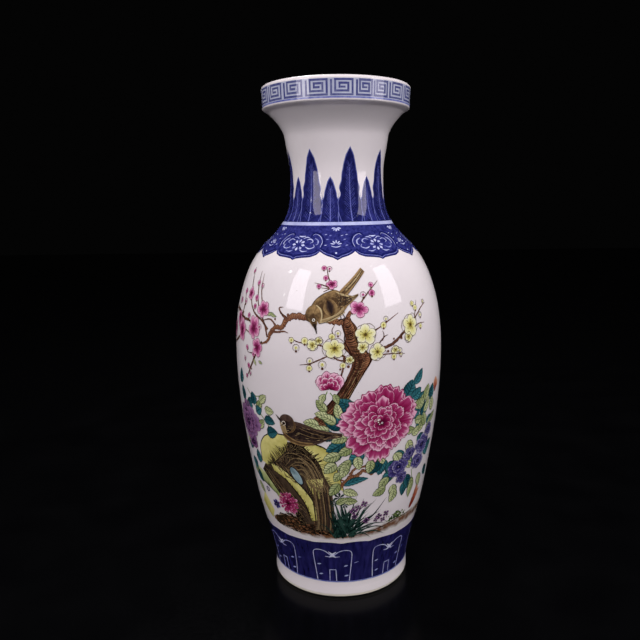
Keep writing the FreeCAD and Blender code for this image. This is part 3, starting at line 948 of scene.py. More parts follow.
plum_yellow = petal_enamel("yellow_enamel_plum_petals",
                           [(0.05, "#8a7629"), (0.3, "#cdc376"), (0.72, "#ddd8a6"),
                            (1.0, "#e2ddca")], 0.3)
peony_rose = petal_enamel("rose_enamel_peony_petals",
                          [(0.2, "#540a2d"), (0.62, "#86184a"), (0.87, "#a43a6c"),
                           (1.0, "#dca2bd")], 0.32)
violet_petals = petal_enamel("violet_enamel_petals",
                             [(0.15, "#18143a"), (0.6, "#332c63"), (0.88, "#5a528c"),
                              (1.02, "#aaa3c6")])
purple_petals = petal_enamel("purple_enamel_petals",
                             [(0.15, "#230c2a"), (0.55, "#4b2755"), (1.0, "#9b73a0")])
teal_leaf = leaf_enamel("blue_green_leaf_enamel", "#3c7882", "#15404b", "#07232c")
green_leaf = leaf_enamel("yellow_green_leaf_enamel", "#cfd2a2", "#929c68", "#2a3a22", 5.5)
stem_green = brushed_wash("green_enamel_stems", "#8fa066", "#55703f", "#3a4e30", 3.0, 0.5)
grass_green = brushed_wash("dark_green_grass_enamel", "#2b463f", "#0b201d", "#071614", 4.0, 0.5)
rock_yellow = rock_enamel("yellow_and_brown_rock_enamel", "#d9cf86", "#b9ae60", "#3a2b20", "#8a7650",
                          1.3, -0.3)
rock_dark = rock_enamel("brown_hatched_rock_enamel", "#493a2e", "#2c211a", "#1a110d", "#8b7858",
                        0.8, 0.2)
rock_pale = rock_enamel("pale_green_rock_enamel", "#c3c38c", "#8f9a62", "#3c3c2a", "#8d8c62",
                        1.2, -0.15)
bird_brown = plumage("olive_brown_bird_enamel", "#4b3624", "#a8875c", "#3b291a")
bird_pale = plumage("buff_bird_enamel", "#8b7352", "#c4ae86", "#6b543c")
bird_dark = plumage("umber_bird_enamel", "#271c1b", "#5d473e", "#221715")
ground_wash = faded_wash("brown_ground_wash", "#6f4a33")
earth_brown = brushed_wash("umber_earth_enamel", "#3c2b1d", "#1b110c", "#120b08", 3.0, 0.2, 0.14)
moss_green = brushed_wash("stippled_moss_enamel", "#6f7f48", "#2c3d24", "#1f2c1a", 1.6, 0.3)
dot_white = brushed_wash("white_enamel_dots", "#efe9e4", "#ded6cf", "#b9aaa5", 2.0, 0.4)
hole_blue = brushed_wash("grey_blue_enamel_wash", "#a9bac1", "#607d8a", "#3c4d58", 5.0, 0.6)
red_orange = petal_enamel("iron_red_enamel",
                          [(0.08, "#7c2a20"), (0.5, "#a9553f"), (0.93, "#cf9a7c")])

PAINTS = {
    "ground": ground_wash, "earth": earth_brown, "moss": moss_green, "rock": rock_yellow,
    "rock_shade": rock_dark, "rock_foot": rock_pale, "rock_hole": hole_blue,
    "rock_hatching": ink_line, "rock_hairs": hair_tan,
    "trunk": bark_brown, "twigs": twig_brown, "teal_leaves": teal_leaf, "green_leaves": green_leaf,
    "leaf_outlines": green_line, "bark_lines": bark_line, "stems": stem_green, "grass": grass_green,
    "pink_plum": plum_pink, "pink_outlines": crimson_line, "yellow_plum": plum_yellow,
    "yellow_outlines": ochre_line, "stamens": ink_line, "pollen": dot_white,
    "peony": peony_rose, "peony_outlines": crimson_line, "peony_frills": frill_white,
    "violet_flowers": violet_petals, "purple_peony": purple_petals, "red_leaf": red_orange,
    "bird_body": bird_brown, "bird_breast": bird_pale, "dark_bird": bird_dark, "bird_lines": ink_line,
}
art = {name: Film(name, paint, "enamel_painting") for name, paint in PAINTS.items()}
PLUM_OUTLINES = {"pink_plum": "pink_outlines", "yellow_plum": "yellow_outlines"}
PLUM_PETALS = 5

# Levels from which each kind of brushwork counts up, so that nearer things cover farther ones
ROCK, GRASS, WOOD, LEAF, FLOWER, BLOSSOM, BIRD, POLLEN = 5, 30, 30, 44, 60, 70, 96, 190


def contour(film, path, width, level, tone):
    """Pencil line that thins out at both ends."""
    art[film].stroke(path, [width * 0.5, width, width * 0.5], level, tone, 1)


def plum_blossom(kind, middle, radius, level, squash):
    """Open blossom of rounded petals with a dark heart, fine stamens and pollen.

    A yellow one has five more petals behind it, which are only outlined.
    """
    lines = PLUM_OUTLINES[kind]
    step = 360 / PLUM_PETALS
    turn = uniform(0, step)
    if kind == "yellow_plum":
        for i in range(PLUM_PETALS):
            way = turn + step / 2 + i * step + uniform(-10, 10)
            far = radius * uniform(0.9, 1.12)
            edge = [place(middle, *squashed(far * reach * math.sin(math.radians(side)),
                                            far * reach * math.cos(math.radians(side)), way, squash))
                    for side, reach in ((-40, 0.55), (-34, 0.84), (-18, 0.99), (0, 1.0), (18, 0.98),
                                        (34, 0.86), (40, 0.55))]
            contour(lines, edge, 0.36, level - 2, 0.3)
    for i in range(PLUM_PETALS):
        way = turn + i * step + uniform(-8, 8)
        reach = radius * uniform(0.82, 1.08)
        edge = art[kind].fan(middle, radius * 0.1, [reach * s for s in (0.7, 0.94, 1.0, 0.94, 0.7)],
                             76, way, level + i, uniform(0.3, 0.7), squash)
        contour(lines, edge, 0.42, level + 6 + i % 2, 0.4)
    art[lines].disc(middle, radius * 0.13, level + 8, 0.2)
    stamens = 8
    for i in range(stamens):
        way = turn + i * 360 / stamens + uniform(-12, 12)
        tip = at_way(middle, radius * uniform(0.34, 0.56), way, squash)
        art[lines].stroke([middle, tip], [0.25, 0.18], level + 9, 0.3, 1)
        art["stamens" if kind == "pink_plum" else "yellow_outlines"].disc(tip, 0.36, level + 10, 0.2)


def bud(kind, middle, radius, level, filled):
    """Round bud in its outline, with a seam and a brown cup; its colour fills it or its middle."""
    lines = PLUM_OUTLINES[kind]
    art[kind].disc(middle, radius if filled else radius * 0.55, level, uniform(0.25, 0.65),
                   uniform(0.85, 1.15), uniform(-30, 30))
    contour(lines, oval(middle, radius, radius, 0, range(-150, 151, 30)), 0.4, level + 1, 0.4)
    seam = [place(middle, -radius * 0.2, -radius * 0.7), place(middle, radius * 0.1, radius * 0.5)]
    contour(lines, seam, 0.3, level + 2, 0.4)
    art["twigs"].disc(place(middle, 0, -radius), radius * 0.36, level + 2)


def leaf(kind, base, tip, width, bend, level):
    """Pointed leaf along a bent midrib, with a slightly wavy edge."""
    wide, high = stretch((base[1] + tip[1]) / 2)
    across, up = (tip[0] - base[0]) / wide, (tip[1] - base[1]) / high
    length = math.hypot(across, up)
    steps = max(6, math.ceil(length / FACET))
    rows = []
    for i in range(steps + 1):
        share = i / steps
        bow = bend * math.sin(math.pi * share) * length
        half = width / 2 * math.sin(math.pi * share ** 0.8) ** 0.75
        half *= 1 + 0.09 * math.sin(share * 40)
        columns = max(4, math.ceil(width / FACET))
        row = []
        for j in range(columns + 1):
            out = bow + half * (2 * j / columns - 1)
            row.append((base[0] + (across * share + up / length * out) * wide,
                        base[1] + (up * share - across / length * out) * high))
        rows.append(row)
    rows[0], rows[-1] = [base], [tip]
    art[kind].weave(rows, level, uniform(0.2, 0.8))
    for side in (0, -1):
        contour("leaf_outlines", [row[side] for row in rows], 0.42, level + 1,
                uniform(0.1, 0.5))


def leaf_spray(kind, spots, level):
    """Leaves given as base, length, direction clockwise from upright, and width."""
    for i, (base, length, way, width) in enumerate(spots):
        leaf(kind, base, at_way(base, length, way), width, uniform(-0.12, 0.12),
             level + (i % 5) * 2)


def peony(kind, lines, heart, radius, rings, level, squash, line_width):
    """Full flower of frilled petals, from the outer ring in to the crowded middle.

    Each ring is a count of petals, their reach, their spread in degrees and where they start.
    """
    step = 0
    for count, reach, spread, start in rings:
        for i in range(count):
            way = start + i * 360 / count + uniform(-10, 10)
            far = radius * reach * uniform(0.82, 1.1)
            frill = []
            for j in range(17):
                side = abs(j / 8 - 1)
                frill.append(far * (1 - 0.24 * side ** 2.5) * uniform(0.9, 1.04))
            edge = art[kind].fan(heart, radius * reach * 0.12, frill, spread, way, level + step,
                                 uniform(0.1, 0.8), squash)
            contour(lines, edge, line_width, level + step + 1, 0.4)
            if kind == "peony":
                rim = towards(heart, edge[1:-1], 0.955)
                contour("peony_frills", rim, 0.46, level + step + 1, uniform(0.2, 0.9))
            step += 2


def limb(path, widths, level, kind="twigs", rough=0.22):
    """Knobby branch or twig."""
    art[kind].stroke(path, widths, level, uniform(0.4, 0.6), None, 1.0, rough)


def paint_ground():
    """Dark earth under the rock, a thin washed shore to its right, and stippled moss."""
    ground = art["ground"]
    ground.between([(-80, 64), (-60, 60.5), (-40, 58.5), (-18, 57.5), (4, 57.2), (34, 57.6)],
                   [(-80, 68), (-60, 76), (-40, 79), (-22, 76), (-4, 66), (34, 60)], 0, 0.6)
    ground.between([(-4, 58), (20, 57.5), (50, 58.5), (80, 60), (112, 61)],
                   [(-4, 62), (20, 65), (50, 70), (80, 72), (112, 73)], 1, 0.2)
    ground.between([(112, 61), (150, 59), (190, 58.5), (240, 59), (282, 63)],
                   [(112, 73), (150, 68), (190, 66), (240, 68), (282, 70)], 0, 0.3)
    earth_strokes, moss_dots, mound, moss = 420, 90, -42, 61
    for i in range(earth_strokes):
        a = uniform(-77, -2)
        share = abs((a - mound) / 40)
        top, low = 78.5 - 13 * share ** 2.2, 62.5 - 2.5 * (1 - share)
        h = uniform(low, max(low + 2, top))
        length = uniform(3.0, 6.5)
        film, least, most = ("earth", 0.9, 1.9) if i % 12 else ("rock_hairs", 0.5, 0.8)
        art[film].stroke([(a, h), (a + length * 0.4, h + uniform(0.2, 1.6)),
                          (a + length, h + uniform(-1.4, 0.4))],
                         [0.3, uniform(least, most), 0.2], 3 + i % 6, uniform(0.0, 0.9),
                         1, 1.0)
    limb([(-2, 61), (18, 61.5), (40, 65), (62, 69), (90, 70)], [0.4, 0.7, 1.3, 1.0, 0.3], 4)
    for i in range(moss_dots):
        a = random.gauss(moss, 6)
        h = 72.5 + uniform(-2.4, 3.6) - abs(a - moss) * 0.15
        art["moss"].disc((a, h), uniform(0.5, 1.15), 5 + i % 5, uniform(0.1, 0.9))


# Outlines of the rock's parts, each a row of places
CROWN_LEFT = [(-80, 119), (-79, 133), (-71, 143), (-59, 148), (-44, 148.5)]
CROWN_LEFT_INNER = [(-70, 117), (-64, 121), (-57, 127), (-50, 133), (-46, 139)]
CROWN_RIGHT = [(-26, 145.5), (-12, 141), (-5, 131), (-1, 118), (3, 104)]
CROWN_RIGHT_INNER = [(-30, 141), (-22, 134), (-17, 127), (-14, 118), (-9, 108)]
BAND_LOW = [(-64, 114), (-52, 109), (-41, 99), (-33, 88), (-29, 74)]
BAND_HIGH = [(-68, 121), (-56, 119), (-42, 111), (-28, 97), (-19, 77)]
LEFT_LEG = [(-82, 111), (-67, 99), (-54, 87), (-46, 78), (-41, 69)]
SPUR = [(-101, 106), (-92, 101), (-80, 98), (-68, 93), (-60, 84)]
HEART_ARCH = [(-66, 116), (-57, 127), (-46, 136), (-33, 137), (-24, 130), (-18, 117), (-12, 102)]
ROCK_HEART = (-35, 106)
ROCK_HOLE = (-39.5, 114.5)


def over_band(spot):
    """How far a place lies over the yellow band that crosses the rock."""
    return (spot[0] + 38) * 0.55 + (spot[1] - 111)


def hatch(i, tan_every, path, widest):
    """One pencilled hair of many on the rock, mostly black and now and then tan."""
    film = "rock_hatching" if i % tan_every else "rock_hairs"
    contour(film, path, uniform(0.35, widest), ROCK + 17 + i % 4, uniform(0.0, 0.8))


def paint_rock():
    """Pierced garden rock: a yellow crown, a hatched heart with a hole, and two legs."""
    for film, near, far, level, tone in (
            ("rock_foot", SPUR, [(-99, 115), (-90, 111), (-78, 108), (-66, 103), (-54, 93)], 0, 0.5),
            ("rock", [(-98, 76), (-90, 69), (-83, 64.5)], [(-89, 88), (-82, 81), (-76, 74)], 0, 0.4),
            ("rock_shade", LEFT_LEG,
             [(-72, 122), (-58, 114), (-43, 102), (-31, 88), (-26, 72)], 3, 0.25),
            ("rock_shade",
             [(-74, 120), (-72, 131), (-64, 139), (-50, 143), (-32, 143), (-16, 138), (-10, 124)],
             [(-58, 112), (-48, 107), (-38, 102), (-28, 98), (-18, 100), (-12, 106), (-7, 114)],
             5, 0.25),
            ("rock_shade", [(-30, 106), (-29, 92), (-26, 78), (-25, 66)],
             [(-7, 112), (-7, 98), (-6, 84), (-8, 65)], 7, 0.45),
            ("rock", [(-31, 112), (-27, 103), (-22, 95)], [(-15, 115), (-16, 106), (-18, 97)], 9, 0.5),
            ("rock", BAND_LOW, BAND_HIGH, 11, 0.6),
            ("rock", CROWN_LEFT_INNER, CROWN_LEFT, 13, 0.55),
            ("rock", CROWN_RIGHT, CROWN_RIGHT_INNER, 13, 0.5)):
        art[film].between(near, far, ROCK + level, tone)
    for path in (CROWN_LEFT + CROWN_RIGHT, BAND_LOW, BAND_HIGH, LEFT_LEG, SPUR[:-1]):
        contour("rock_hatching", path, 1.3, ROCK + 15, 0.2)
    heart_hairs, right_leg_hairs, left_leg_hairs, arches = 330, 90, 120, 24
    for i in range(heart_hairs):
        share = random.random()
        a = -72 + 64 * share + uniform(-3, 3)
        top = 143 - 24 * abs((a + 42) / 32) ** 3
        h = uniform(102, max(108, top))
        in_crown = h > 104 and a + 7 > -30 + (141 - h) * 0.62
        if over_band((a, h)) < -5 or in_crown:
            continue
        hatch(i, 5, [(a, h), (a + uniform(1, 3), h - uniform(0.5, 2.5)),
                     (a + uniform(3.5, 8), h - uniform(2, 7))], 0.75)
    for i in range(right_leg_hairs):
        share = random.random()
        a = -27 + 18 * random.random()
        hatch(i, 3, [(a, 102 + 8 * share), (a + 1.5, 88), (a + 2.0, 76), (a + 1, 67)], 0.8)
    for i in range(left_leg_hairs):
        share = random.random()
        a, h = -79 + 40 * share + uniform(-1, 4), 113 - 31 * share + uniform(-3, 6)
        hatch(i, 3, [(a, h), (a + 3.5, h - 2.4), (a + 8, h - 7.5)], 0.7)
    for inner, outer, count, deepest in ((CROWN_LEFT_INNER, CROWN_LEFT, 70, 0.4),
                                         (CROWN_RIGHT_INNER, CROWN_RIGHT, 70, 0.45),
                                         (BAND_LOW, BAND_HIGH, 44, 0.34),
                                         (BAND_HIGH, BAND_LOW, 30, 0.22)):
        for i in range(count):
            share = random.random()
            near, far = blend_place(inner, share), blend_place(outer, share)
            reach = uniform(0.08, deepest)
            end = (near[0] + (far[0] - near[0]) * reach, near[1] + (far[1] - near[1]) * reach)
            contour("rock_hatching", [near, end], uniform(0.3, 0.65), ROCK + 18 + i % 3, 0.3)
    for i in range(arches):
        scale, lean = 0.36 + 0.026 * i, uniform(-3, 3)
        arch = [(ROCK_HEART[0] + (a - ROCK_HEART[0]) * scale + lean + uniform(-0.7, 0.7),
                 ROCK_HEART[1] + (h - ROCK_HEART[1]) * scale + uniform(-0.7, 0.7))
                for a, h in HEART_ARCH]
        arch = [spot for spot in arch if over_band(spot) > -2]
        contour("rock_hairs", arch[i % 4:], uniform(0.3, 0.45), ROCK + 21, 0.7)
    lean, half_width, half_height = -32, 3.6, 8.6
    art["rock_hole"].disc(ROCK_HOLE, 3.5, ROCK + 22, 0.4, 2.35, lean)
    contour("rock_hatching", oval(ROCK_HOLE, half_width, half_height, lean, range(0, 361, 20)), 1.0,
            ROCK + 23, 0.2)


# Twigs: path and widths
TWIGS = [
    ([(-41, 241), (-47, 245), (-50, 249), (-46, 250)], [2.6, 1.8, 1.2, 0.4]),
    ([(-52, 236), (-58, 240), (-66, 238.5)], [1.6, 1.3, 0.4]),
    ([(-57, 231), (-50, 231), (-44, 232), (-40, 231)], [2.0, 1.8, 1.5, 0.4]),
    ([(-60, 232), (-67, 238), (-78, 243), (-85, 250), (-88, 258), (-93, 270), (-96, 277)],
     [2.0, 1.6, 1.5, 1.3, 1.1, 0.9, 0.3]),
    ([(-60, 226), (-64, 236), (-72, 246), (-77, 256), (-80, 268), (-81, 275)],
     [1.8, 1.4, 1.3, 1.1, 0.9, 0.3]),
    ([(-69, 250), (-74, 262), (-76, 273)], [1.2, 1.0, 0.3]),
    ([(-66, 222), (-72, 213), (-78, 204), (-84, 195), (-90, 189)], [2.0, 1.7, 1.6, 1.3, 0.4]),
    ([(-72, 213), (-79, 211), (-86, 211)], [1.1, 1.0, 0.3]),
    ([(-118, 243), (-105, 240), (-95, 237), (-84, 236), (-78, 231)], [3.6, 3.2, 2.8, 2.2, 0.6]),
    ([(-118, 214), (-108, 218), (-98, 224), (-90, 228), (-82, 226)], [2.4, 2.2, 1.8, 1.4, 0.4]),
    ([(-100, 238), (-98, 248), (-101, 258)], [1.6, 1.2, 0.3]),
    ([(-12, 262), (-5, 266), (-8, 272), (-10, 280)], [0.5, 1.0, 0.9, 0.3]),
    ([(-20, 268.5), (-13, 267), (-5, 264), (0, 259)], [0.3, 0.9, 1.1, 0.9]),
    ([(-14, 265), (-9, 264.6), (-3, 266)], [0.3, 0.7, 0.8]),
    ([(16, 250), (20, 256), (27, 263), (34.5, 269)], [1.2, 1.1, 0.9, 0.3]),
    ([(10, 246), (14, 249), (17, 252)], [2.0, 1.4, 1.0]),
    ([(24, 231), (34, 236), (44, 241.5), (50, 244.5)], [1.1, 1.0, 0.8, 0.3]),
    ([(20, 214), (26, 218), (31, 223), (36, 228), (39, 229)], [1.8, 1.4, 1.4, 1.1, 0.3]),
    ([(34, 225), (35.5, 229), (34.5, 232.5)], [1.0, 0.8, 0.3]),
    ([(24, 216), (33, 219), (42, 221.5), (49, 226), (56, 231), (64, 237)],
     [1.4, 2.2, 2.6, 2.4, 1.7, 0.8]),
    ([(62, 234), (70, 241), (77, 246), (84, 249)], [1.1, 1.1, 0.9, 0.3]),
    ([(64, 231), (71, 234), (79, 234)], [0.9, 0.8, 0.3]),
    ([(66, 238), (70, 247), (72, 252)], [0.9, 0.7, 0.3]),
    ([(29, 214), (38, 214.5), (46, 214), (54, 213)], [1.1, 1.0, 0.8, 0.3]),
    ([(-39, 228), (-32, 225), (-24, 224), (-14, 223), (-4, 219), (5, 214)],
     [0.4, 1.0, 1.0, 1.1, 1.3, 1.6]),
    ([(-30, 207.5), (-22, 209), (-14, 212.5), (-6, 216)], [0.4, 0.9, 1.1, 0.9]),
    ([(-6, 216), (0, 212), (8, 211.5)], [0.9, 1.2, 1.6]),
    ([(4, 214), (3.5, 207), (1.5, 199), (3, 193)], [1.8, 1.6, 1.4, 1.0]),
    ([(11, 211), (9, 204), (6, 198)], [1.6, 1.4, 1.0]),
    ([(-3, 228), (-5, 234), (-3, 238)], [0.9, 0.8, 0.3]),
]
TWIG_KNOTS = [
    (-41, 244.5), (-53, 240.5), (-61, 222), (44, 225.5), (51, 225.5), (57, 229), (38.5, 216.5),
    (29, 220), (-75, 241), (-69, 218), (-80, 198), (-98, 241), (-92, 225), (1, 205), (7, 207),
]
# The two edges of the trunk inside its outline, from its top down
BARK_EDGES = (
    [(3.5, 240), (4.5, 232), (4.5, 226), (8, 219), (10.5, 211), (8, 202), (1, 189), (-6, 180),
     (-14, 171), (-21, 163)],
    [(9, 243), (12.5, 235), (13.5, 228), (20, 219), (24, 211), (18, 201), (11.5, 190), (5, 179),
     (-4, 169), (-12, 158)],
)


def paint_trunk():
    """Old plum trunk, its limbs and the knobby twigs."""
    trunk, bark = art["trunk"], art["bark_lines"]
    trunk.between([(1.5, 241), (3, 235), (5, 228), (3, 222), (8, 216), (10, 210), (9, 203), (2, 190),
                   (-4, 182), (-10, 175), (-17, 167), (-25, 160)],
                  [(8, 243.5), (14, 236), (13, 230), (15, 224), (21, 218), (25.5, 212), (19, 201),
                   (12, 190), (7, 181), (0, 171), (-7, 162), (-16, 154)], WOOD, 0.5)
    trunk.stroke([(8, 240), (0, 240.5), (-8, 241.5), (-14, 243.5), (-24, 243), (-33, 244),
                  (-41, 241.5), (-46, 235), (-52, 234.5), (-57, 229.5), (-59, 224), (-66, 220)],
                 [6.0, 4.8, 4.2, 4.6, 5.2, 4.6, 5.0, 4.0, 3.4, 4.0, 2.4, 1.2], WOOD + 1, 0.55, 5, 1.0,
                 0.26)
    trunk.stroke([(6, 238), (7, 243), (9.5, 248)], [4.5, 3.4, 2.2], WOOD + 3, 0.45, 4, 1.0, 0.1)
    trunk.stroke([(-2, 176), (-9, 168), (-17, 166), (-22, 163)], [5, 7, 6, 2], WOOD + 2, 0.35, 5, 1.0,
                 0.2)
    for knot, size in (((-13, 165), 3.0), ((17, 213), 3.2), ((9, 231), 2.2), ((2, 182), 2.0)):
        for ring in (1.0, 0.62, 0.3):
            circle = [place(knot, size * ring * math.sin(math.radians(a)) * 0.8,
                            size * ring * math.cos(math.radians(a)) * 1.25, 25)
                      for a in range(0, 331, 30)]
            contour("bark_lines", circle, 0.6, WOOD + 4, 0.2)
    furrows, rings = 40, 34
    for i in range(furrows):
        across, first = (i % 15 + 0.6) / 15.2, uniform(0.3, 0.8)
        sway, turn, spots = uniform(0.02, 0.07), uniform(0, 6.28), []
        for step in range(9):
            share = min(1.0, first + step * uniform(0.02, 0.035))
            bent = min(0.97, max(0.03, across + sway * math.sin(turn + share * 38)))
            spots.append(across_edges(BARK_EDGES, share, bent))
        art["rock_hairs" if i % 5 == 4 else "bark_lines"].stroke(
            spots, [0.2, uniform(0.5, 0.9), 0.6, 0.2], WOOD + 4 + i % 2,
            uniform(0.1, 0.7), 1)
    for i in range(rings):
        share, sag, spots = 0.02 + i * 0.0165, uniform(0.012, 0.03), []
        for step in range(6):
            across = 0.05 + step * uniform(0.16, 0.18)
            down = min(1.0, share + sag * math.sin(math.pi * across))
            spots.append(across_edges(BARK_EDGES, down, across))
        bark.stroke(spots, [0.2, uniform(0.6, 0.9), 0.5, 0.2], WOOD + 6, 0.3, 1)
    for edge in BARK_EDGES:
        bark.stroke(edge, [0.5, 1.1, 0.9, 1.2, 0.5], WOOD + 5, 0.2, 1)
    for path, widths in TWIGS:
        limb(path, widths, WOOD + 6)
    for spot in TWIG_KNOTS:
        art["twigs"].disc(spot, uniform(0.8, 1.3), WOOD + 7, 0.4)


# Open blossoms: place, radius, and how tall it is for its width
PINK_BLOSSOMS = [
    ((-67, 247), 6.6, 1.15), ((-77, 231), 7.6, 1.35), ((-72, 216.5), 7.2, 1.2),
    ((-97, 227), 8.5, 1.3), ((-89, 257), 5.0, 1.1), ((-5, 267.5), 4.6, 0.85),
    ((16, 249.5), 7.2, 0.9), ((-105, 236), 6.0, 1.2), ((-118, 226), 6.5, 1.2),
]
YELLOW_BLOSSOMS = [
    ((-3, 221), 8.6, 0.95), ((20.5, 230.5), 8.6, 0.95), ((29.5, 217), 7.0, 0.95),
    ((61, 234.5), 8.2, 1.1), ((-20, 223), 4.8, 0.9), ((18, 221), 5.0, 0.9), ((45, 217), 3.8, 0.9),
    ((8, 212), 3.8, 0.9), ((58, 225.5), 4.2, 1.0), ((-15, 226.5), 3.4, 0.9),
]
# Buds: place and radius
PINK_BUDS = [
    ((-95.5, 274), 1.7), ((-80, 266), 2.1), ((-73.5, 264), 2.0), ((-78, 254.5), 2.4),
    ((-78.5, 248), 2.0), ((-69.5, 233), 2.2), ((-86, 214.5), 2.1), ((-84, 200), 2.1),
    ((-82, 194), 1.7), ((-76.5, 210.5), 2.0), ((-12.5, 279), 1.9), ((-7.5, 278.5), 1.9),
    ((-10.5, 272), 1.9), ((-16, 266), 1.8), ((20.5, 259.5), 2.3), ((28, 260.5), 2.5),
    ((28, 266.5), 2.0), ((-90, 205), 1.8), ((-88, 191), 1.6), ((-100, 258), 2.2),
    ((-96, 250), 2.4), ((-108, 250), 2.4), ((-86, 240), 2.2),
]
YELLOW_BUDS = [
    ((-37, 226), 2.1), ((-33, 220.5), 2.7), ((-26, 226), 2.7), ((-22, 211), 2.6),
    ((-22.5, 205.5), 2.3), ((-12.5, 208.5), 3.0), ((-5, 229.5), 2.4), ((-0.5, 232), 2.2),
    ((35.5, 236.5), 2.4), ((38, 241), 2.0), ((43.5, 212), 2.2), ((49, 216), 2.2),
    ((69, 246.5), 2.2), ((74, 240.5), 2.2), ((73, 232), 2.0), ((81, 250), 1.7), ((66, 250), 2.0),
    ((50, 213), 1.8), ((3, 208), 2.3),
]


def paint_plum():
    """Rose and yellow plum blossom with its buds, some of them left open inside their outline."""
    for spot, radius, squash in PINK_BLOSSOMS:
        plum_blossom("pink_plum", spot, radius, BLOSSOM, squash)
    for i, (spot, radius) in enumerate(PINK_BUDS):
        bud("pink_plum", spot, radius, BLOSSOM - 4, i % 3 < 2)
    for spot, radius, squash in YELLOW_BLOSSOMS:
        plum_blossom("yellow_plum", spot, radius, BLOSSOM + 8, squash)
    for i, (spot, radius) in enumerate(YELLOW_BUDS):
        bud("yellow_plum", spot, radius, BLOSSOM + 4, i % 2 == 0)
    leaf_spray("green_leaves", [((-62, 243), 7, 75, 2.4), ((-58, 243.5), 6, 100, 2.0),
                                ((-76, 207), 6, 150, 2.2), ((-70, 206), 5, 110, 2.0)], FLOWER)


# Petals of the bud, from the back ones to the front ones: their ways and their reach
BUD_PETALS = [((-56, -28, 4, 34, 60), 0.9), ((-44, -12, 24, 52), 0.98), ((-74, 74), 0.66),
              ((-28, 14, 44), 0.72), ((-50, -4, 30), 0.46)]


def peony_bud(foot, tall):
    """Half-open peony: cupped petals that rise from one foot, the front ones shorter."""
    level = LEAF
    for ways, reach in BUD_PETALS:
        for way in ways:
            far = tall * reach * uniform(0.92, 1.05)
            frill = [far * (1 - 0.3 * abs(j / 6 - 1) ** 2.2) * uniform(0.95, 1.03)
                     for j in range(13)]
            edge = art["peony"].fan(foot, 0.4, frill, 52, way, level, uniform(0.6, 1.0), 1.12)
            contour("peony_outlines", edge, 0.45, level + 1, 0.4)
            contour("peony_frills", towards(foot, edge[1:-1], 0.94), 1.1, level + 1,
                    uniform(0.3, 0.9))
            level += 2


# Rings of petals: how many, their reach, their spread in degrees, and where the first one points
GREAT_PEONY = [(10, 1.0, 54, 12), (11, 0.88, 42, 30), (11, 0.7, 40, 8), (10, 0.52, 42, 25),
               (9, 0.37, 46, 0), (8, 0.24, 56, 20)]
SIDE_PEONY = [(9, 1.0, 56, 0), (8, 0.76, 56, 20), (7, 0.52, 60, 0), (6, 0.3, 70, 30)]
VIOLET_FLOWER = [(8, 1.0, 62, 0), (7, 0.72, 62, 22), (6, 0.44, 70, 5)]
# Violet flowers: place and radius
VIOLET_FLOWERS = [((54, 119), 11.0), ((66, 128), 7.5), ((83, 131), 11.0), ((80, 117), 9.0),
                  ((59, 108), 6.5), ((93, 142), 7.0), ((180, 122), 10.0), ((192, 114), 8.0)]


def paint_peonies():
    """Great rose peony, its bud and the violet ones at the sides."""
    rose, purple = ("peony", "peony_outlines"), ("purple_peony", "pink_outlines")
    peony(*rose, (34.0, 160.5), 34.3, GREAT_PEONY, FLOWER, 0.91, 0.45)
    pollen_dots = 16
    for _ in range(pollen_dots):
        way, far = uniform(0, 360), uniform(0, 4.5)
        art["pollen"].disc(place((31, 163), far * math.sin(way), far * math.cos(way)),
                           uniform(0.3, 0.6), POLLEN, 0.6)
    peony_bud((-7.5, 189.5), 13.2)
    peony(*purple, (-95, 150), 19, SIDE_PEONY, FLOWER - 10, 1.05, 0.4)
    peony(*purple, (-91, 133), 8, SIDE_PEONY[:2], FLOWER - 14, 0.8, 0.4)
    peony(*rose, (150, 150), 27, GREAT_PEONY[1:], FLOWER, 0.86, 0.42)
    peony(*purple, (205, 140), 20, SIDE_PEONY, FLOWER - 10, 1.0, 0.4)
    for spot, radius in VIOLET_FLOWERS:
        peony("violet_flowers", "rock_hatching", spot, radius, VIOLET_FLOWER, FLOWER - 4, 0.9, 0.3)
    art["red_leaf"].fan((99, 172), 1, [9, 12, 14, 12, 9], 60, 0, LEAF + 6, 0.4)
    art["red_leaf"].fan((99, 175), 1, [6, 9, 6], 60, 40, LEAF + 8, 0.6)
    leaf("red_leaf", (80, 73), (89, 96), 7, 0.1, LEAF)
    leaf("red_leaf", (84, 76), (96, 88), 5, -0.1, LEAF + 2)


# Limbs that the peony stands on: path and widths
LOW_LIMBS = [
    ([(-4, 104), (2, 110), (8, 116), (14, 117), (19, 121), (25, 120), (32, 122)],
     [2.0, 3.6, 3.0, 3.8, 3.0, 2.6, 0.6]),
    ([(8, 118), (12, 123), (19, 124.5), (27, 126.5), (34, 126)], [2.0, 2.4, 1.8, 1.8, 0.5]),
    ([(22, 121), (27, 117), (31, 119), (37, 116)], [1.6, 1.8, 1.4, 0.4]),
    ([(-3, 118), (1, 114), (5, 113)], [0.8, 1.6, 1.0]),
]
LEAF_STEMS = [
    [(-9, 188), (-13, 178), (-14, 168), (-10, 160)], [(-7, 187), (-2, 180), (2, 172)],
    [(60, 180), (66, 187), (74, 196)], [(88, 165), (80, 172), (74, 178)],
    [(-90, 180), (-84, 176), (-76, 176), (-68, 178)], [(-80, 168), (-70, 160), (-62, 152)],
    [(50, 110), (42, 106), (36, 104)], [(72, 112), (76, 100), (76, 92)],
    [(122, 64), (126, 90), (136, 112), (146, 128)], [(211, 64), (208, 92), (206, 124)],
]
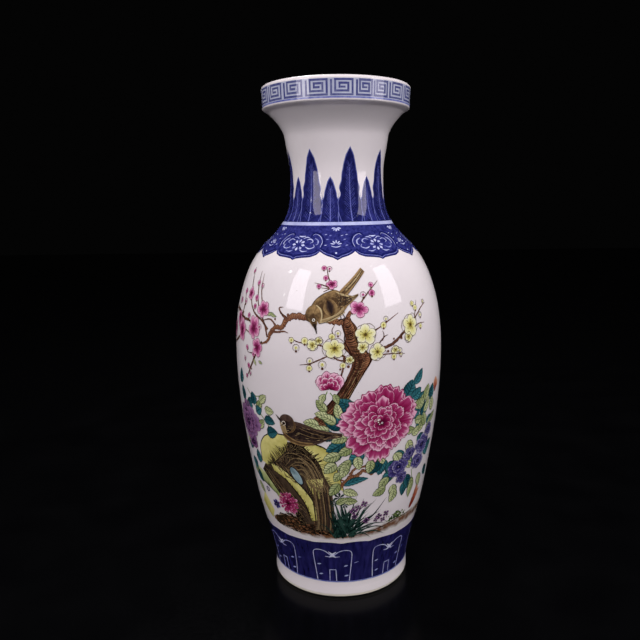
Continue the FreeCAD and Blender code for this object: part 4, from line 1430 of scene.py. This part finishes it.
# Leaves: base, length, direction clockwise from upright, and width
TEAL_LEAVES = [
    ((9, 171), 15, 315, 11), ((3, 160), 15, 285, 12), ((55, 178), 15, 30, 14),
    ((62, 176), 13, 60, 10), ((64, 187), 15, 42, 8), ((62, 160), 14, 65, 10),
    ((4, 147), 17, 240, 11), ((-1, 141), 14, 215, 9), ((20, 136), 15, 235, 10),
    ((30, 131), 14, 195, 9), ((40, 128), 14, 205, 10), ((52, 134), 15, 175, 12),
    ((47, 117), 14, 215, 10), ((64, 109), 15, 160, 9), ((3, 109), 20, 75, 6),
    ((86, 152), 12, 110, 8), ((-98, 168), 13, 350, 8), ((-80, 168), 11, 350, 9),
    ((-90, 162), 12, 20, 9), ((-78, 162), 9, 60, 8), ((-68, 158), 12, 95, 8),
    ((-66, 146), 12, 70, 10), ((-84, 116), 12, 350, 8), ((70, 150), 12, 80, 9),
    ((-100, 125), 12, 30, 8), ((95, 122), 12, 40, 9), ((98, 108), 13, 150, 8),
    ((44, 126), 14, 160, 11), ((58, 126), 14, 120, 11), ((36, 126), 13, 230, 9),
    ((69, 104), 15, 200, 9), ((70, 170), 14, 60, 12), ((76, 158), 13, 30, 10),
    ((90, 168), 14, 10, 10), ((92, 130), 13, 160, 10), ((74, 140), 12, 120, 9),
    ((-4, 152), 14, 260, 10), ((16, 172), 14, 300, 10), ((-98, 118), 12, 160, 8),
    ((-92, 108), 12, 150, 7), ((-104, 182), 14, 20, 8),
]
GREEN_LEAVES = [
    ((-8, 166), 12, 290, 7), ((-10, 172), 12, 320, 7), ((0, 166), 13, 350, 7),
    ((-8, 157), 14, 275, 8), ((6, 150), 13, 255, 8), ((10, 142), 13, 240, 8),
    ((9, 131), 14, 235, 8), ((34, 137), 13, 165, 8), ((62, 140), 14, 150, 9),
    ((64, 127), 14, 160, 9), ((72, 164), 14, 25, 8), ((80, 160), 14, 30, 7),
    ((66, 144), 13, 60, 8), ((74, 145), 13, 50, 8), ((42, 104), 13, 240, 8),
    ((50, 104), 12, 170, 8), ((78, 100), 15, 195, 7), ((-1, 111), 14, 215, 8),
    ((2, 104), 13, 110, 7), ((-72, 172), 11, 50, 7), ((-76, 166), 10, 40, 7),
    ((-78, 150), 12, 50, 7), ((-66, 168), 10, 100, 7), ((88, 142), 12, 20, 7),
    ((92, 150), 12, 60, 7), ((3, 120), 11, 225, 7), ((58, 150), 11, 100, 7),
    ((-4, 186), 9, 160, 5), ((-11, 186), 9, 200, 5), ((0, 136), 14, 250, 9),
    ((-3, 128), 13, 230, 9), ((6, 128), 13, 200, 8), ((14, 134), 12, 170, 8),
    ((26, 130), 12, 190, 8), ((48, 132), 13, 150, 9), ((66, 168), 13, 70, 9),
    ((80, 170), 14, 20, 9), ((94, 158), 13, 350, 8), ((68, 156), 12, 95, 8),
    ((84, 148), 13, 340, 8), ((74, 104), 14, 170, 8), ((86, 104), 14, 160, 8),
    ((44, 112), 13, 215, 8), ((52, 100), 13, 195, 8), ((-3, 162), 13, 300, 8),
    ((-16, 160), 13, 280, 8), ((-104, 128), 12, 20, 7), ((-96, 96), 12, 140, 6),
    ((2, 96), 12, 100, 7), ((-4, 92), 11, 60, 6),
]
# Leaves round the two peonies of the right flank: the flower, their distance and their directions
TEAL_ROUND_FLOWERS = [((150, 150), 20, (322, 10, 62, 118, 200, 246)),
                      ((205, 140), 14, (30, 130, 215, 300))]
GREEN_ROUND_FLOWERS = [((150, 150), 21, (345, 36, 92, 150, 222, 290)),
                       ((205, 140), 15, (70, 175, 255, 345))]


def paint_leaves():
    """Blue-green and yellow-green peony leaves on their stems."""
    for path, widths in LOW_LIMBS:
        limb(path, widths, WOOD, "trunk", 0.35)
    for path in LEAF_STEMS:
        art["stems"].stroke(path, [0.7, 0.9, 0.6], WOOD + 2, 0.5, 1)
    teal = TEAL_LEAVES + [(at_way(flower, far, way), 14, way + 8, 10)
                          for flower, far, ways in TEAL_ROUND_FLOWERS for way in ways]
    leaf_spray("teal_leaves", teal, LEAF)
    green = GREEN_LEAVES + [(at_way(flower, far, way), 13, way - 10, 8)
                            for flower, far, ways in GREEN_ROUND_FLOWERS for way in ways]
    leaf_spray("green_leaves", green, LEAF + 6)


# Grass blades: root, knee, tip and width
GRASS_BLADES = [
    ((6, 64), (30, 78), (45, 94), 1.4), ((8, 66), (24, 76), (40, 83), 1.2),
    ((6, 64), (15, 80), (22, 97), 1.3), ((5, 64), (9, 82), (15, 99), 1.2),
    ((4, 64), (-1, 80), (-6, 96), 2.4), ((3, 64), (-5, 76), (-9, 90), 2.2),
    ((8, 62), (32, 64), (49, 57.5), 1.3), ((8, 62), (22, 63), (32, 57), 1.2),
    ((8, 64), (30, 71), (48, 69), 1.3), ((7, 64), (2, 84), (-2, 100), 2.2),
    ((9, 64), (34, 68), (52, 62), 1.1), ((6, 66), (20, 72), (31, 72), 1.2),
    ((5, 66), (-4, 72), (-10, 80), 1.8), ((5, 64), (18, 86), (30, 91), 1.0),
    ((8, 66), (12, 78), (13, 88), 1.6), ((4, 64), (6, 76), (3, 92), 2.6),
]
FLANK_BLADES = [
    ((120, 62), (128, 84), (118, 104)), ((124, 62), (138, 80), (150, 90)),
    ((122, 62), (120, 80), (108, 90)), ((210, 62), (214, 82), (206, 100)),
    ((212, 62), (226, 78), (238, 84)), ((211, 62), (200, 78), (190, 86)),
]
# Dark tufts and small flowers in the grass: place and radius
TUFTS = [((-1, 98), 5.0), ((-6, 93), 4.0), ((4, 92), 4.0)]
SMALL_FLOWERS = [
    ((12, 85), 3.2), ((16, 88), 2.6), ((22, 91), 3.0), ((25, 75), 3.0), ((38, 77), 3.0),
    ((46, 78), 3.0), ((43, 73), 2.6), ((13, 80), 2.4), ((35, 74), 2.2),
]
ASTER = (-53, 87)


def paint_grass():
    """Orchid grass, small flowers, and the aster by the rock."""
    grass, violet = art["grass"], art["violet_flowers"]
    for i, (root, knee, tip, width) in enumerate(GRASS_BLADES):
        grass.stroke([root, knee, tip], [width, width * 1.2, width, width * 0.6, 0.0],
                     GRASS + 6 + i % 6, uniform(0.2, 0.8), None, 1.0)
    loose_blades = 78
    for i in range(loose_blades):
        root = (uniform(-8, 13), uniform(59, 65))
        tip = (root[0] + uniform(-15, 26), root[1] + uniform(6, 30))
        bend = ((root[0] + tip[0]) / 2 + uniform(-2, 2),
                (root[1] + tip[1]) / 2 + uniform(1, 4))
        grass.stroke([root, bend, tip], [1.3, 1.2, 0.8, 0.0], GRASS + i % 6,
                     uniform(0.0, 0.9), None, 1.0)
    for spot, radius in TUFTS:
        for i in range(7):
            grass.fan(spot, 0.4, [radius * 0.7, radius, radius * 0.7], 34, i * 51, GRASS + 13 + i % 3,
                      uniform(0.1, 0.6))
    for spot, radius in SMALL_FLOWERS:
        for i in range(4):
            edge = art["purple_peony"].fan(spot, 0.3, [radius * 0.75, radius, radius * 0.75], 74,
                                           i * 90 + spot[0] * 7, FLOWER - 10 + i,
                                           uniform(0.1, 0.6))
            contour("pink_outlines", edge, 0.35, FLOWER - 5, 0.2)
    for ring, (count, reach) in enumerate(((17, 10.4), (13, 7.4), (9, 4.4))):
        for i in range(count):
            way = i * 360 / count + ring * 9 + uniform(-3, 3)
            far = reach * uniform(0.9, 1.08)
            art["peony"].fan(ASTER, 0.8, [far * 0.86, far, far * 0.86], 17 + 4 * ring, way,
                             GRASS + ring * 6 + i % 5, uniform(0.1, 0.7))
    for i in range(6):
        violet.fan((-69.5, 82), 0.4, [3.6, 4.8, 3.6], 56, i * 60, GRASS + i, 0.3)
        violet.fan((-80, 93), 1.0, [2.2, 3.0, 2.2], 50, i * 60, GRASS + i, 0.6)
    for blade in FLANK_BLADES:
        grass.stroke(blade, [1.6, 1.8, 1.2, 0.0], GRASS, uniform(0.2, 0.7), None, 1.0)


def feathers(rows, level, count):
    """Short barbs over a bird, each along the line between two given edges."""
    for i in range(count):
        share, across = uniform(0.04, 0.96), uniform(0.08, 0.92)
        spots = [across_edges(rows, min(1.0, share + step), across) for step in (0.0, 0.03, 0.06)]
        film = ("bird_lines", "rock_hairs", "bird_breast")[i % 3]
        art[film].stroke(spots, [0.1, uniform(0.25, 0.6), 0.1], level + i % 3,
                         uniform(0.2, 0.8), 1)


BIRD_FILMS = ("bird_body", "bird_breast", "dark_bird", "bird_lines")


def paint_upper_bird():
    """Brown bird that leans down from the limb, tail up to the right."""
    body, breast, dark, ink = (art[film] for film in BIRD_FILMS)
    body.between([(20.5, 279), (13, 272.5), (5, 266), (-1, 260.5)],
                 [(24, 276), (17, 269), (10, 262.5), (5, 257)], BIRD, 0.6)
    body.between([(0, 262), (6, 260.5), (12, 259), (16.5, 260.5)],
                 [(-2, 249), (4, 249.5), (9, 253), (16.5, 259)], BIRD + 2, 0.35)
    body.between([(-22, 251), (-18, 256.5), (-11, 261), (-3, 263.5), (4, 261)],
                 [(-15, 239), (-9, 240.5), (-3, 243.5), (2, 246), (7, 251)], BIRD + 4, 0.4)
    breast.between([(-15, 239.2), (-8, 240.2), (-1, 243), (5, 247)],
                   [(-14, 242), (-8, 243.5), (-1, 246.5), (4, 251)], BIRD + 7, 0.5)
    body.disc((-19.5, 246), 6.2, BIRD + 9, 0.45, 1.1, 25)
    body.between([(-24, 243), (-21.5, 239), (-18.5, 235.5)],
                 [(-16.5, 241.5), (-16.5, 238.5), (-17.6, 235.2)], BIRD + 11, 0.3)
    breast.stroke([(-17.5, 252.5), (-14, 249.5), (-12.8, 245), (-13.5, 240)], [0.6, 1.2, 1.0, 0.6],
                  BIRD + 13, 0.9, 1)
    ink.between([(-19.8, 238.5), (-18, 234.5), (-16.8, 231.5)],
                [(-17.2, 239), (-16.6, 235), (-16.4, 231.8)], BIRD + 14, 0.3)
    eye = (-19.2, 241.6)
    art["pollen"].disc(eye, 1.2, BIRD + 15, 0.6)
    ink.disc(eye, 0.7, BIRD + 16, 0.1)
    for width, tone in ((11.5, 0.42), (9.0, 0.3), (6.5, 0.12)):
        body.stroke([(-9.5, 257.5), (-7.5, 254), (-6, 250), (-5, 246), (-4.5, 243.5)],
                    [0, width * 0.7, width, width * 0.8, 0], BIRD + 8 - width * 0.2, tone)
    dark.stroke([(-9, 256), (-7, 253), (-6, 249.5), (-5, 246)], [0, 3.6, 5.4, 3.8, 0], BIRD + 7.6,
                0.35)
    dark.stroke([(4, 259), (9, 256.5), (14, 258)], [0, 2.2, 0.6], BIRD + 8, 0.6)
    breast.stroke([(-2, 262), (4, 259.8), (11, 258.6), (15, 260)], [0.3, 1.3, 1.0, 0.2], BIRD + 9,
                  0.8, 1)
    breast.stroke([(21.5, 277), (14, 270), (6, 263)], [0.3, 1.1, 0.6], BIRD + 9, 0.7, 1)
    feathers(([(-3, 262.5), (2, 261.5), (8, 259), (16, 260)],
              [(-2, 247), (3, 249), (8, 253), (15, 258.5)]), BIRD + 10, 90)
    feathers(([(-3, 260), (0, 261), (3, 262)], [(0, 247), (3, 248), (6, 251)]), BIRD + 10, 20)
    feathers(([(20.5, 278), (13, 272), (4, 265)], [(23.5, 275.5), (17, 269), (9, 261.5)]),
             BIRD + 10, 40)
    for path in ([(21, 277), (12, 269), (3, 261)], [(22, 276.5), (14, 268.5), (6, 261)],
                 [(23, 276), (16, 268.5), (8, 260)], [(-2, 258.5), (5, 257.5), (14, 259.5)],
                 [(-1, 256), (5, 255), (13, 258)], [(0, 253), (5, 252.5), (11, 256)],
                 [(1, 262), (2, 258), (1, 252)], [(5, 261), (6, 257), (5, 252)],
                 [(-22, 251), (-18, 256.5), (-11, 261), (-3, 263.5)],
                 [(-15, 239), (-9, 240.5), (-3, 243.5), (2, 246), (6, 250)]):
        contour("bird_lines", path, 0.55, BIRD + 17, 0.4)
    for path in ([(1, 246), (2, 242.5), (-1, 240.8)], [(3, 247), (5, 243), (3, 240.5)],
                 [(5, 243), (8, 243.5)], [(2, 242.5), (5, 241.5)]):
        contour("bird_lines", path, 0.7, BIRD + 18, 0.2)


def paint_lower_bird():
    """Dark bird perched on the rock, its throat pale and its tail towards the peony."""
    body, breast, dark, ink = (art[film] for film in BIRD_FILMS)
    dark.between([(2, 154.2), (-3, 154.8), (-10, 155.8), (-18, 157.5)],
                 [(2, 151.0), (-3, 150.0), (-10, 148.6), (-17, 147.5)], BIRD, 0.6)
    dark.between([(-50, 156), (-44, 160.5), (-36, 162), (-26, 160), (-16, 156.5), (-8, 154.5)],
                 [(-47, 147), (-41, 143.8), (-33, 142.6), (-24, 143), (-16, 145.5), (-8, 149.5)],
                 BIRD + 2, 0.4)
    body.between([(-50, 155), (-46, 151), (-40, 147.5), (-32, 145.5), (-22, 145.5)],
                 [(-47, 147), (-42, 144), (-34, 142.2), (-27, 142.4), (-21, 143.8)], BIRD + 4, 0.5)
    dark.disc((-43.5, 161), 6.6, BIRD + 6, 0.5, 0.92, 10)
    breast.between([(-50.5, 160), (-50, 156), (-48.5, 151.5)],
                   [(-45, 157), (-44.5, 154), (-43.5, 151)], BIRD + 7, 0.3)
    body.stroke([(-38, 163.5), (-36.5, 159), (-38, 154.5), (-43, 151.5)], [0.4, 1.6, 1.8, 0.5],
                BIRD + 8, 0.3, 2)
    ink.between([(-49.6, 162.4), (-51.6, 164.0), (-54.0, 165.8)],
                [(-49.6, 160.0), (-51.6, 162.0), (-53.8, 165.2)], BIRD + 9, 0.4)
    eye = (-46.6, 159.2)
    art["pollen"].disc(eye, 1.9, BIRD + 10, 0.6)
    art["rock_hairs"].disc(eye, 1.5, BIRD + 11, 0.5)
    ink.disc(eye, 1.1, BIRD + 12, 0.1)
    feathers(([(-48, 156), (-38, 161), (-26, 159), (-14, 155.5), (0, 153.8)],
              [(-46, 148), (-36, 144), (-24, 144), (-13, 147), (0, 151)]), BIRD + 7, 66)
    for path in ([(-36, 158.5), (-26, 156), (-14, 153), (0, 152.4)],
                 [(-35, 154), (-26, 151.5), (-15, 150.5)], [(-34, 150), (-26, 148), (-17, 148.4)],
                 [(-27, 158.5), (-17, 154.6), (-6, 153.4)], [(-50, 156.5), (-44, 160)],
                 [(-30, 146), (-22, 146), (-14, 148)]):
        contour("bird_lines", path, 0.7, BIRD + 13, 0.3)
    for path in ([(-33, 157), (-24, 154), (-12, 151.6)], [(-32, 152.6), (-22, 150), (-12, 149.8)],
                 [(-24, 157.4), (-14, 154.6), (-2, 153.6)]):
        contour("rock_hairs", path, 0.5, BIRD + 13, 0.4)


paint_ground()
paint_rock()
paint_trunk()
paint_leaves()
paint_grass()
paint_peonies()
paint_plum()
paint_upper_bird()
paint_lower_bird()
for film in art.values():
    film.lay()


def make_stage():
    """Polished black board under the vase, which mirrors the foot faintly."""
    finish = Finish("polished_black_acrylic_board")
    add = finish.add
    wipe = add("TexNoise", {"Vector": finish.here, "Scale": to_a_metre(60), "Detail": 2.0})
    colour = add("ValToRGB", {"Fac": wipe, "stops": [(0.3, "#030304"), (0.7, "#050506")]})
    dust = add("TexNoise", {"Vector": finish.here, "Scale": to_a_metre(4), "Detail": 3.0})
    dull = add("MapRange", {"Value": dust, "From Min": 0.3, "From Max": 0.7, "To Min": 0.16,
                            "To Max": 0.26})
    material = finish.fire(colour, dull, 1.14)
    half_width, front, back = 4.0, -3.0, 4.0
    corners = [(-half_width, front, 0.0), (half_width, front, 0.0), (half_width, back, 0.0),
               (-half_width, back, 0.0)]
    mesh = bpy.data.meshes.new("table_board")
    mesh.from_pydata(corners, [], [(0, 1, 2, 3)])
    mesh.materials.append(material)
    board = bpy.data.objects.new("table_board", mesh)
    bpy.context.collection.objects.link(board)


def make_softbox(name, azimuth, distance, height, width, tall, watts, aim_height, tint="#ffffff"):
    """Softbox that stands round the vase and faces it."""
    lamp = bpy.data.lights.new(name, "AREA")
    lamp.shape = "RECTANGLE"
    lamp.color = linear(tint)[:3]
    lamp.size, lamp.size_y, lamp.energy = width, tall, watts
    box = bpy.data.objects.new(name, lamp)
    angle = math.radians(azimuth)
    box.location = (distance * math.sin(angle), -distance * math.cos(angle), height)
    aim = Vector((0, 0, aim_height)) - box.location
    box.rotation_euler = aim.to_track_quat("-Z", "Y").to_euler()
    bpy.context.collection.objects.link(box)
    return box


def make_world():
    """Dark room to the eye and in the glaze, with even pale light on matt surfaces."""
    world = bpy.data.worlds.new("dark_room")
    bpy.context.scene.world = world
    world.use_nodes = True
    tree = world.node_tree
    tree.nodes.clear()
    ray = add_node(tree, "LightPath")
    seen = add_node(tree, "Math", {"operation": "MAXIMUM", 0: ray.outputs["Is Camera Ray"],
                                   1: ray.outputs["Is Glossy Ray"]}).outputs[0]
    clear = add_node(tree, "Math", {"operation": "MAXIMUM", 0: seen,
                                    1: ray.outputs["Is Transmission Ray"]}).outputs[0]
    room = add_node(tree, "Mix", {"data_type": "RGBA", 0: clear, 6: "#e9e7e6",
                                  7: "#030303"}).outputs[2]
    strength = 1.28
    light = add_node(tree, "Background", {"Color": room, "Strength": strength}).outputs[0]
    add_node(tree, "OutputWorld", {"Surface": light})


def make_camera():
    """Camera where the photograph's stood: close, a little above the middle, looking down."""
    camera = bpy.data.cameras.new("camera")
    camera.sensor_width = 36.0
    camera.lens = 37.15
    camera.shift_x = -0.0288
    viewer = bpy.data.objects.new("camera", camera)
    viewer.location = (0.0, -0.5665, 0.3268)
    looks_down, leans = 10.02, -0.68
    pitch, roll = math.radians(90 - looks_down), math.radians(leans)
    viewer.rotation_mode = "QUATERNION"
    viewer.rotation_quaternion = Quaternion((1, 0, 0), pitch) @ Quaternion((0, 0, 1), roll)
    bpy.context.collection.objects.link(viewer)
    bpy.context.scene.camera = viewer


def make_lamps():
    """Two upright softboxes and three bare bulbs beside the vase, one softbox over it, one behind."""
    beside, middle, tall = 0.5, 0.54, 0.36
    # The wet glaze shows each upright softbox brighter than its light on the colours, and lilac,
    # so a second lamp in front of it is seen only in the glaze
    for side, azimuth, width, watts, shine in (("left", -47, 0.17, 0.38, 0.47),
                                               ("right", 61, 0.19, 0.45, 0.4)):
        make_softbox(side + "_softbox", azimuth, beside, middle, width, tall, watts, middle)
        front = make_softbox(side + "_shine", azimuth, beside + 0.001, middle, width, tall, shine,
                             middle, "#f8e6fb")
        front.visible_diffuse = False
    for side, azimuth, height, size, watts in (("left", -66.5, 0.617, 0.034, 0.03),
                                               ("low_left", -62, 0.424, 0.012, 0.004),
                                               ("right", 51.3, 0.771, 0.02, 0.008)):
        make_softbox(side + "_bare_bulb", azimuth, beside, height, size, size, watts, height)
    # The ceiling stands in for a whole pale room, which the glaze doesn't mirror as one bright sheet
    belly_height = 0.25
    ceiling = make_softbox("ceiling_softbox", 14, 1.45, 1.9, 1.5, 1.2, 20.0, belly_height)
    ceiling.visible_glossy = False
    make_softbox("back_softbox", 195, 1.0, 1.6, 0.4, 0.5, 6.0, belly_height)


make_stage()
make_lamps()
make_world()
make_camera()

bpy.context.scene.view_settings.view_transform = "Standard"
